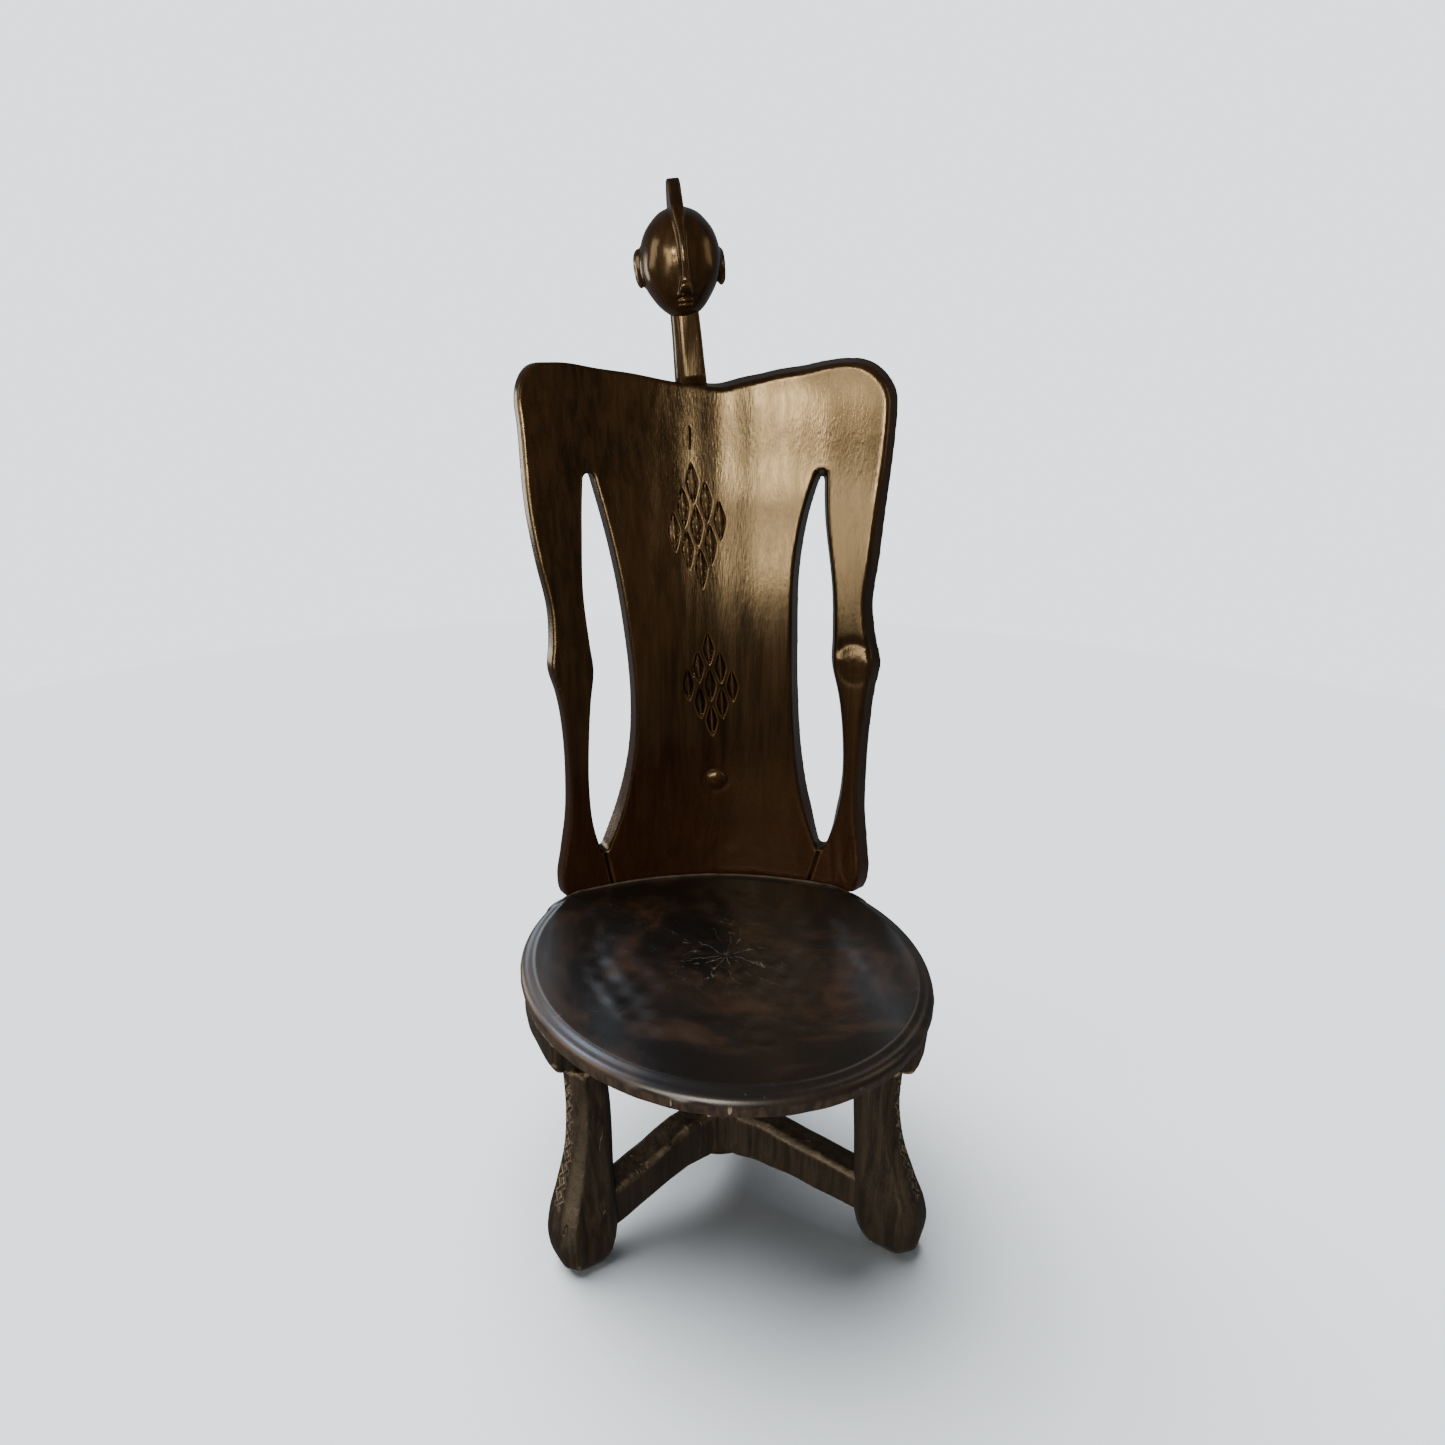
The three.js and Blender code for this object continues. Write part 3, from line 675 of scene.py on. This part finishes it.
def build_seat(wood):
    profile = seat_profile()
    angles = np.arange(SEAT_SIDES) * 2 * math.pi / SEAT_SIDES
    radius, height = (np.repeat(profile[:, k], SEAT_SIDES) for k in range(2))
    angle = np.tile(angles, len(profile))
    points = np.stack([radius * np.cos(angle), radius * np.sin(angle), height], axis=1)
    on_dish = height > SEAT_UNDERSIDE + 3
    gather = np.where(on_dish, (1 - np.minimum(radius / DISH_RADIUS, 1)) ** 1.5, 0)
    points[:, :2] += gather[:, None] * PITH
    dished = on_dish & (radius < DISH_RADIUS - 4)
    points[dished, 2] = seat_top(points[dished, 0], points[dished, 1])
    outward = np.stack([np.cos(angle), np.sin(angle), np.zeros(len(angle))], axis=1)
    upward = np.where(height > DISH_FLOOR, 1.0, 0.0) - np.where(height < SEAT_UNDERSIDE + 1, 1.0, 0.0)
    side = smooth_step(SEAT_RADIUS - 10, SEAT_RADIUS - 1, radius)[:, None]
    relief = seat_relief(points, height)[:, None]
    points += relief * (side * outward + (1 - side) * upward[:, None] * (0, 0, 1))
    faces = []
    for ring in range(len(profile) - 1):
        first, second = ring * SEAT_SIDES, (ring + 1) * SEAT_SIDES
        for k in range(SEAT_SIDES):
            after = (k + 1) % SEAT_SIDES
            faces.append((first + k, second + k, second + after, first + after))
    top, bottom = len(points), len(points) + 1
    points = np.concatenate([points, [points[:SEAT_SIDES].mean(0), points[-SEAT_SIDES:].mean(0)]])
    last = (len(profile) - 1) * SEAT_SIDES
    for k in range(SEAT_SIDES):
        after = (k + 1) % SEAT_SIDES
        faces.append((top, k, after))
        faces.append((bottom, last + after, last + k))
    mesh = bpy.data.meshes.new("seat")
    mesh.from_pydata(points.tolist(), [], faces)
    mark_bends(mesh)
    return add_piece("seat", mesh, wood, ["seat"])


# ---- legs, their blocks under the rim, and the stretchers between them ----
LEG_TOP = 197
LEGS = {
    "left_front": {"angle": -149, "side": -1, "foot_step": 30, "drop": 14},
    "right_front": {"angle": -32, "side": 1, "foot_step": 2, "drop": 4},
    "rear": {"angle": 90, "side": 1, "foot_step": 0, "drop": 7},
}
LEG_INNER = curve([(176, 0), (166, 8), (158, 28), (157, 52), (155, 80), (152, 112), (150, 150), (150, 200)])
LEG_OUTER = curve([(211, 0), (218, 8), (224, 28), (221, 52), (211, 80), (200, 112), (194, 150), (193, 200)])
LEG_HALF = curve([(15, 0), (21, 8), (25, 28), (25, 52), (22, 80), (19, 112), (18, 150), (18, 200)])
LEG_CHAMFER = 11
STRIP = {"low": 62, "high": 190, "half": 5.5, "period": 25, "depth": 2.6, "line": 2.3}
BLOCK_SWEEP = 32
BLOCK_INNER = 125
HUB_Y = -4
HUB_RADIUS = 30
STRETCHER_HALF = 16
STRETCHER_MEETS = 0.75


def turned(points, degrees):
    """Points as (distance out along an angle, distance across it, height)."""
    angle = math.radians(degrees)
    x, y, z = points.T
    return x * math.cos(angle) + y * math.sin(angle), y * math.cos(angle) - x * math.sin(angle), z


def foot_shift(leg, z):
    return -leg["side"] * leg["foot_step"] * (1 - z / LEG_TOP)


def strip_cut(across, z):
    """Two crossing zigzag grooves down a leg's outer face."""
    swing = 2 * np.abs(((z - STRIP["low"]) / STRIP["period"]) % 1 - 0.5) * 2 - 1
    ends = smooth_step(0, 4, np.minimum(z - STRIP["low"], STRIP["high"] - z))
    apart = np.minimum(np.abs(across - STRIP["half"] * swing), np.abs(across + STRIP["half"] * swing))
    return STRIP["depth"] * ends * np.clip(1 - apart / STRIP["line"], 0, 1)


def leg_shape(points, leg, cut):
    out, across, z = turned(points, leg["angle"])
    across = across - foot_shift(leg, z)
    side = np.abs(across) - LEG_HALF(z)
    face, back = out - LEG_OUTER(z), LEG_INNER(z) - out
    chamfer = (side + np.maximum(face, back) + LEG_CHAMFER) * math.sqrt(0.5)
    face = face + (strip_cut(across, z) if cut else 0)
    shape = smooth_max(smooth_max(side, np.maximum(face, back), 2), chamfer, 2)
    shape = shape + 0.6 * ripple(points * (1, 1, 0.45), 34, leg["angle"] + 200)
    return smooth_max(np.maximum(shape, z - LEG_TOP - 2), -z, 5)


def near_strip(leg):
    def near(points):
        out, across, z = turned(points, leg["angle"])
        across = across - foot_shift(leg, z)
        in_height = (z > STRIP["low"] - 2) & (z < STRIP["high"] + 2)
        return in_height & (np.abs(across) < STRIP["half"] + 3) & (out > LEG_OUTER(z) - 6)

    return near


def block_field(points, leg):
    x, y, z = points.T
    radius = np.hypot(x, y)
    ahead = np.degrees(np.arctan2(y, x)) - leg["angle"]
    ahead = leg["side"] * ((ahead + 180) % 360 - 180)
    rim = np.interp(z, [LEG_TOP, 203, 212, SEAT_UNDERSIDE], [196, 206, 210, SEAT_RADIUS - 4])
    front = (-2.5 - ahead) * np.radians(1) * radius
    front = np.maximum(front, (-8 - ahead) * np.radians(1) * radius)
    back = (ahead - BLOCK_SWEEP) * np.radians(1) * radius
    shape = smooth_max(smooth_max(radius - rim, BLOCK_INNER - radius, 5), smooth_max(front, back, 5), 5)
    shape = smooth_max(shape, LEG_TOP - z, 6)
    return np.maximum(shape, z - SEAT_UNDERSIDE - 2) + 0.5 * ripple(points, 30, leg["angle"] + 300)


def stretcher_field(points, leg):
    target = np.array([190, foot_shift(leg, LEG_TOP * (1 - STRETCHER_MEETS))])
    angle = math.radians(leg["angle"])
    x = target[0] * math.cos(angle) - target[1] * math.sin(angle)
    y = target[0] * math.sin(angle) + target[1] * math.cos(angle) - HUB_Y
    along, across, z = turned(points - (0, HUB_Y, 0), math.degrees(math.atan2(y, x)))
    drop = leg["drop"]
    top = np.interp(along, [8, 60, 110, 180], [86, 86, 80 - drop / 2, 72 - drop])
    bottom = np.interp(along, [8, 60, 110, 180], [34, 39, 38 - drop / 2, 32 - drop])
    ends = np.maximum(along - 172, HUB_RADIUS - 8 - along)
    wear = 0.7 * ripple(points, 34, leg["angle"] + 400)
    edge = smooth_max(smooth_max(z - top, bottom - z, 4), np.abs(across) - STRETCHER_HALF, 5)
    worn = (z - top + np.abs(across) - STRETCHER_HALF + 4 + wear) * math.sqrt(0.5)
    shape = smooth_max(edge, worn, 1.5)
    return np.maximum(shape, ends) + 0.5 * ripple(points, 40, leg["angle"] + 500)


def hub_field(points):
    x, y, z = points.T
    out = -np.inf
    for turn in range(6):
        angle = math.radians(60 * turn + 30)
        out = np.maximum(out, x * math.cos(angle) + (y - HUB_Y) * math.sin(angle) - HUB_RADIUS * 0.93)
    return smooth_max(out, np.maximum(z - 88, 35 - z), 6) + 0.5 * ripple(points, 40, 600)


def build_legs(wood):
    for name, leg in LEGS.items():
        angle = math.radians(leg["angle"])
        middle = 185 * np.array([math.cos(angle), math.sin(angle)])
        low, high = (*(middle - 70), 0), (*(middle + 70), LEG_TOP + 2)
        mesh = carve(
            lambda p: leg_shape(p, leg, True), low, high, 3,
            lambda p: leg_shape(p, leg, False), [near_strip(leg), near_strip(leg)],
        )
        add_piece(f"{name}_leg", mesh, wood, [f"{name}_leg"])
        reach = SEAT_RADIUS + 2
        low, high = (-reach, -reach, LEG_TOP), (reach, reach, SEAT_UNDERSIDE + 2)
        block = carve(lambda p: block_field(p, leg), low, high, 3)
        add_piece(f"{name}_block", block, wood, [f"{name}_block"])
        ends = np.array([[0, 0], middle * 1.1])
        low, high = (*(ends.min(0) - 40), 10), (*(ends.max(0) + 40), 90)
        bar = carve(lambda p: stretcher_field(p, leg), low, high, 3)
        add_piece(f"{name}_stretcher", bar, wood, [f"{name}_stretcher"])
    hub = carve(hub_field, (-32, -36, 30), (32, 30, 88), 3)
    add_piece("stretcher_hub", hub, wood, ["stretcher_hub"])


# ---- wood, by nodes in the frame's own metres ----
class Wood:
    """A Principled material under construction: each method adds a node and gives back its output socket."""

    def __init__(self, slot):
        self.material = bpy.data.materials.new(slot)
        self.material["slot"] = slot
        self.material.use_nodes = True
        self.tree = self.material.node_tree
        self.shader = self.tree.nodes["Principled BSDF"]
        self.place = self.add("ShaderNodeTexCoord", "Object")

    def add(self, kind, output, inputs=(), **settings):
        node = self.tree.nodes.new(kind)
        for name, value in settings.items():
            setattr(node, name, value)
        for name, value in dict(inputs).items():
            self.feed(node.inputs[name], value)
        return node.outputs[output]

    def feed(self, socket, value):
        if isinstance(value, bpy.types.NodeSocket):
            self.tree.links.new(value, socket)
        else:
            socket.default_value = value

    def set(self, **inputs):
        for name, value in inputs.items():
            socket = name.replace("_", " ").title().replace("Ior", "IOR")
            self.feed(self.shader.inputs[socket], value)

    def stretched(self, scale, move=(0, 0, 0)):
        return self.add("ShaderNodeMapping", "Vector", {"Vector": self.place, "Scale": scale, "Location": move})

    def noise(self, scale, detail=3, rough=0.5, stretch=(1, 1, 1), twist=0.0, move=(0, 0, 0)):
        inputs = {"Vector": self.stretched(stretch, move), "Scale": scale, "Detail": detail,
                  "Roughness": rough, "Distortion": twist}
        return self.add("ShaderNodeTexNoise", "Fac", inputs)

    def math(self, operation, a, b=0.0, clamp=False):
        return self.add("ShaderNodeMath", "Value", {0: a, 1: b}, operation=operation, use_clamp=clamp)

    def span(self, value, low, high, to_low=0.0, to_high=1.0):
        inputs = {"Value": value, "From Min": low, "From Max": high, "To Min": to_low, "To Max": to_high}
        return self.add("ShaderNodeMapRange", "Result", inputs, interpolation_type="SMOOTHSTEP")

    def mix(self, share, first, second):
        node = self.tree.nodes.new("ShaderNodeMix")
        node.data_type = "RGBA"
        for socket, value in ((0, share), (6, first), (7, second)):
            self.feed(node.inputs[socket], (*value, 1) if isinstance(value, tuple) else value)
        return node.outputs[2]

    def bend(self):
        return self.add("ShaderNodeAttribute", "Fac", attribute_name="bend")

    def height(self):
        return self.add("ShaderNodeSeparateXYZ", "Z", {"Vector": self.place})

    def bump(self, height, distance, under=None, strength=1.0):
        inputs = {"Height": height, "Distance": distance, "Strength": strength}
        if under is not None:
            inputs["Normal"] = under
        return self.add("ShaderNodeBump", "Normal", inputs)


UPRIGHT_GRAIN = (1, 1, 0.05)


def polished_wood():
    """Dark oiled hardwood: upright grain, golden where it is rubbed, with painted shade that darkens the cuts.
    """
    wood = Wood("polished_wood")
    fibres = wood.noise(620, 3, 0.6, UPRIGHT_GRAIN)
    streaks = wood.noise(120, 6, 0.62, UPRIGHT_GRAIN, 0.4)
    clouds = wood.noise(6, 4, 0.55, (1, 1, 0.6))
    dents = wood.noise(130, 3, 0.6, (1, 1, 0.4), 0.4)
    tone = wood.mix(wood.span(streaks, 0.3, 0.7), (0.0013, 0.0006, 0.0003), (0.006, 0.0026, 0.001))
    warm = wood.math("MULTIPLY", wood.span(clouds, 0.42, 0.66), 0.5)
    tone = wood.mix(warm, tone, (0.012, 0.0058, 0.0022))
    low = wood.math("MULTIPLY", wood.span(wood.height(), 0.52, 0.27), 0.6)
    tone = wood.mix(low, tone, (0.011, 0.0042, 0.002))
    broken = wood.span(wood.noise(55, 4, 0.6, (1, 1, 0.3)), 0.3, 0.62)
    worn = wood.math("MULTIPLY", wood.span(wood.bend(), 0.035, 0.16), broken)
    tone = wood.mix(wood.math("MULTIPLY", worn, 0.6), tone, (0.03, 0.015, 0.0055))
    # Painted shade: where the surface bends inwards, in the cuts and grooves, the colour is pushed to near
    # black.
    tone = wood.mix(wood.span(wood.bend(), -0.05, -0.3), tone, (0.0008, 0.0005, 0.0003))
    streak_gloss = wood.span(streaks, 0.3, 0.7, 0.18, 0.26)
    rough = wood.math("ADD", streak_gloss, wood.span(clouds, 0.35, 0.7, 0.03, -0.02))
    normal = wood.bump(dents, 0.00018)
    below_head = wood.span(wood.height(), 0.92, 0.87)
    normal = wood.bump(wood.math("MULTIPLY", fibres, below_head), 0.00018, normal)
    wood.set(base_color=tone, roughness=rough, normal=normal, ior=1.36, specular_tint=(1.0, 0.74, 0.42, 1))
    return wood.material


def seat_wood():
    """The waxed seat: nearly black end grain, cracked round the pith, with a red-brown rubbed rim."""
    wood = Wood("seat_wood")
    level_place = wood.add("ShaderNodeMapping", "Vector", {
        "Vector": wood.place, "Scale": (1, 1, 0), "Location": tuple(-in_frame((0, 0, 0))),
    })
    pith = wood.add("ShaderNodeMapping", "Vector", {
        "Vector": wood.place, "Scale": (1, 1, 0), "Location": tuple(-in_frame((*PITH, 0))),
    })
    split = wood.tree.nodes.new("ShaderNodeSeparateXYZ")
    wood.feed(split.inputs[0], pith)
    x, y = split.outputs[0], split.outputs[1]
    from_pith = wood.math("SQRT", wood.math("ADD", wood.math("MULTIPLY", x, x), wood.math("MULTIPLY", y, y)))
    wander = wood.math("MULTIPLY", wood.noise(24, 5, 0.62), 1.5)
    angle = wood.math("ADD", wood.math("ARCTAN2", y, x), wander)
    spokes = wood.add("ShaderNodeTexVoronoi", "Distance", {"W": angle, "Scale": 1.9},
                      voronoi_dimensions="1D", feature="DISTANCE_TO_EDGE")
    apart = wood.math("MULTIPLY", spokes, from_pith)
    line = wood.span(apart, 0.0009, 0.0003)
    faded = wood.span(from_pith, 0.095, 0.02)
    gaps = wood.span(wood.noise(75, 3, 0.6), 0.42, 0.55)
    cracks = wood.math("MULTIPLY", wood.math("MULTIPLY", line, faded), gaps)

    clouds = wood.noise(9, 5, 0.6, twist=0.8)
    stain = wood.noise(26, 5, 0.65, twist=1.2, move=(3, 1, 0))
    near = wood.span(from_pith, 0.1, 0.02)
    tone = wood.mix(wood.span(clouds, 0.45, 0.68), (0.0035, 0.0024, 0.0018), (0.0165, 0.0078, 0.0038))
    black = wood.math("MULTIPLY", near, wood.span(stain, 0.42, 0.56))
    tone = wood.mix(black, tone, (0.001, 0.0009, 0.0008))
    scuffs = wood.add("ShaderNodeTexVoronoi", "Distance",
                      {"Vector": wood.stretched((1, 1, 1)), "Scale": 26.0, "Randomness": 1.0},
                      feature="DISTANCE_TO_EDGE")
    scuff_mask = wood.span(wood.noise(60, 4, 0.7, move=(7, 2, 0)), 0.6, 0.72)
    scuff = wood.math("MULTIPLY", wood.span(scuffs, 0.012, 0.002), scuff_mask)
    from_middle = wood.add("ShaderNodeVectorMath", "Value", {0: level_place}, operation="LENGTH")
    edge = wood.math("MULTIPLY", wood.span(wood.bend(), 0.02, 0.07), wood.span(from_pith, 0.05, 0.08))
    rub = wood.math("MULTIPLY", edge, wood.span(stain, 0.2, 0.5, 0.4, 1.0))
    back_x, back_y = (wood.add("ShaderNodeSeparateXYZ", axis, {0: level_place}) for axis in "XY")
    curl = wood.math("MULTIPLY", wood.math("MULTIPLY", back_x, back_x), float(CURL(262)) / MM)
    at_back = wood.span(wood.math("ADD", back_y, curl), 0.158, 0.168)
    tone = wood.mix(rub, tone, wood.mix(at_back, (0.085, 0.03, 0.011), (0.032, 0.026, 0.019)))
    grain = wood.noise(160, 5, 0.65, UPRIGHT_GRAIN)
    band = wood.math("MULTIPLY", wood.span(wood.height(), 0.2525, 0.2475), wood.span(from_middle, 0.195, 0.205))
    band_tone = wood.mix(wood.span(grain, 0.35, 0.65), (0.005, 0.0028, 0.0015), (0.018, 0.0105, 0.0055))
    tone = wood.mix(band, tone, band_tone)
    check_noise = wood.noise(130, 1, 0.4, (1, 1, 0.1), move=(1, 5, 0))
    checks = wood.math("MULTIPLY", wood.span(check_noise, 0.68, 0.71), band)
    pale = wood.math("MULTIPLY", wood.math("MAXIMUM", cracks, scuff), 0.5)
    tone = wood.mix(wood.math("MAXIMUM", pale, wood.math("MULTIPLY", checks, 0.8)), tone, (0.1, 0.077, 0.054))
    rough = wood.math("ADD", wood.span(clouds, 0.35, 0.7, 0.34, 0.4), wood.math("MULTIPLY", band, 0.2))
    normal = wood.bump(wood.noise(420, 3, 0.6), 0.00005)
    normal = wood.bump(wood.math("SUBTRACT", 0.0, cracks), 0.0006, normal)
    wood.set(base_color=tone, roughness=rough, normal=normal, ior=1.35)
    return wood.material


def leg_wood():
    """Dry, adzed wood under the seat: grey-brown, cracked along the upright grain, pale on its edges, with
    painted shade in its grooves.
    """
    wood = Wood("leg_wood")
    streaks = wood.noise(110, 6, 0.68, (1, 1, 0.08), 0.5)
    fibres = wood.noise(600, 3, 0.6, (1, 1, 0.06))
    clouds = wood.noise(14, 4, 0.6)
    tone = wood.mix(wood.span(streaks, 0.34, 0.68), (0.0015, 0.001, 0.0007), (0.0085, 0.0058, 0.0039))
    tone = wood.mix(wood.math("MULTIPLY", wood.span(clouds, 0.4, 0.7), 0.5), tone, (0.007, 0.0052, 0.0036))
    cracks = wood.span(wood.noise(70, 2, 0.5, (1, 1, 0.07), 0.3, (2, 0, 4)), 0.67, 0.7)
    broken = wood.span(wood.noise(70, 4, 0.65), 0.34, 0.6)
    worn = wood.math("MULTIPLY", wood.span(wood.bend(), 0.035, 0.13), broken)
    tone = wood.mix(wood.math("MULTIPLY", worn, 0.8), tone, (0.075, 0.056, 0.038))
    # Painted shade: where the surface bends inwards, in the grooves, the colour is set to a fixed dark
    # grey-brown.
    tone = wood.mix(wood.span(wood.bend(), -0.04, -0.25), tone, (0.006, 0.0045, 0.0035))
    tone = wood.mix(wood.math("MULTIPLY", cracks, 0.8), tone, (0.005, 0.004, 0.003))
    rough = wood.span(streaks, 0.3, 0.7, 0.46, 0.62)
    normal = wood.bump(wood.noise(85, 4, 0.6, (1, 1, 0.5)), 0.0012)
    normal = wood.bump(fibres, 0.0003, normal)
    normal = wood.bump(wood.math("SUBTRACT", 0.0, cracks), 0.001, normal)
    wood.set(base_color=tone, roughness=rough, normal=normal, ior=1.33, specular_tint=(1.0, 0.84, 0.66, 1))
    return wood.material


# ---- studio: a pale floor, a window on the left and weaker fills ----
FLOOR_RADIUS, FLOOR_SIDES = 2.4, 96
FLOOR_LIGHT = 7.4
PALE = (0.79, 0.845, 0.885, 1)


def add_floor():
    """A pale floor, with a lamp of its own, so that it stays even while the wood is lit by the window.
    The wood doesn't mirror it."""
    mesh = bpy.data.meshes.new("floor")
    turns = [2 * math.pi * k / FLOOR_SIDES for k in range(FLOOR_SIDES)]
    mesh.from_pydata([(FLOOR_RADIUS * math.cos(t), FLOOR_RADIUS * math.sin(t), 0) for t in turns], [],
                     [tuple(range(FLOOR_SIDES))])
    material = bpy.data.materials.new("pale_floor")
    material.use_nodes = True
    shader = material.node_tree.nodes["Principled BSDF"]
    shader.inputs["Base Color"].default_value = PALE
    shader.inputs["Roughness"].default_value = 1.0
    shader.inputs["Specular IOR Level"].default_value = 0.0
    mesh.materials.append(material)
    floor = bpy.data.objects.new("floor", mesh)
    floor.visible_glossy = False
    bpy.context.scene.collection.objects.link(floor)
    lamp = bpy.data.objects.new("floor_lamp", bpy.data.lights.new("floor_lamp", "SUN"))
    lamp.data.energy = FLOOR_LIGHT
    lamp.data.angle = math.radians(70)
    lamp.rotation_euler = (math.radians(-20), math.radians(-20), 0)
    bpy.context.scene.collection.objects.link(lamp)
    light_only(lamp, floor, "INCLUDE")
    return floor


def light_only(lamp, target, state):
    """Makes a lamp light only the target (INCLUDE), or everything but it (EXCLUDE)."""
    listed = bpy.data.collections.new(f"{lamp.name}_{state.lower()}")
    listed.objects.link(target)
    listed.collection_objects[0].light_linking.link_state = state
    lamp.light_linking.receiver_collection = listed


def add_world():
    """A pale surround that the camera sees, and a dimmer one that lights the wood."""
    world = bpy.data.worlds.new("studio")
    world.use_nodes = True
    tree = world.node_tree
    seen = tree.nodes["Background"]
    seen.inputs["Color"].default_value = PALE
    seen.inputs["Strength"].default_value = 2.4
    lit = tree.nodes.new("ShaderNodeBackground")
    lit.inputs["Color"].default_value = (0.95, 0.97, 1.0, 1)
    lit.inputs["Strength"].default_value = 0.2
    path = tree.nodes.new("ShaderNodeLightPath")
    choose = tree.nodes.new("ShaderNodeMixShader")
    tree.links.new(path.outputs["Is Camera Ray"], choose.inputs[0])
    tree.links.new(lit.outputs[0], choose.inputs[1])
    tree.links.new(seen.outputs[0], choose.inputs[2])
    tree.links.new(choose.outputs[0], tree.nodes["World Output"].inputs["Surface"])
    bpy.context.scene.world = world


WARM, COOL, SKY, AMBER = (1.0, 0.92, 0.78), (0.75, 0.87, 1.0), (0.55, 0.75, 1.0), (1.0, 0.75, 0.5)
LAMPS = {
    "window_top": {
        "at": (-0.5, -2.35, 1.62), "to": (0.1, 0.2, 0.8),
        "size": (0.75, 0.34), "radiance": 120, "color": WARM,
    },
    "window_foot": {
        "at": (-0.5, -2.35, 0.88), "to": (0.1, 0.2, 0.7),
        "size": (0.5, 0.28), "radiance": 85, "color": WARM,
    },
    "room": {
        "at": (-1.5, -2.3, 1.15), "to": (0.1, 0.2, 0.7),
        "size": (0.8, 1.3), "radiance": 24, "color": WARM,
    },
    "left": {
        "at": (-2.4, -0.5, 1.5), "to": (0, 0, 0.8),
        "size": (1.2, 1.6), "radiance": 9, "color": WARM,
    },
    "left_wall": {
        "at": (-2.3, 1.5, 0.65), "to": (-0.2, 0.1, 0.6),
        "size": (1.0, 1.2), "radiance": 9, "color": WARM,
    },
    "right": {
        "at": (2.4, -0.6, 1.6), "to": (0, 0, 0.7),
        "size": (0.8, 1.4), "radiance": 4, "color": AMBER,
    },
}
SEAT_LAMPS = {
    "behind": {
        "at": (-0.7, 2.5, 1.8), "to": (0, 0, 0.5),
        "size": (1.6, 2.0), "radiance": 6, "color": COOL,
    },
    "sky": {
        "at": (-1.7, 0.3, 2.1), "to": (0, 0, 0.3),
        "size": (0.7, 0.7), "radiance": 70, "color": SKY,
    },
    "ceiling": {
        "at": (1.2, 1.6, 2.4), "to": (0, 0, 0.3),
        "size": (1.2, 1.2), "radiance": 3, "color": WARM,
    },
}


def add_lamps(lamps, target, state):
    for name, lamp in lamps.items():
        light = bpy.data.lights.new(name, "AREA")
        light.shape = "RECTANGLE"
        light.size, light.size_y = lamp["size"]
        light.energy = lamp["radiance"] * math.pi * light.size * light.size_y
        light.color = lamp["color"]
        made = bpy.data.objects.new(name, light)
        made.location = lamp["at"]
        made.rotation_euler = (Vector(lamp["to"]) - Vector(lamp["at"])).to_track_quat("-Z", "Y").to_euler()
        bpy.context.scene.collection.objects.link(made)
        light_only(made, target, state)


add_camera()
add_world()
add_lamps(LAMPS, add_floor(), "EXCLUDE")
polished = polished_wood()
build_back(polished)
build_navel(polished)
build_head(polished)
build_neck(polished)
add_lamps(SEAT_LAMPS, build_seat(seat_wood()), "INCLUDE")
build_legs(leg_wood())
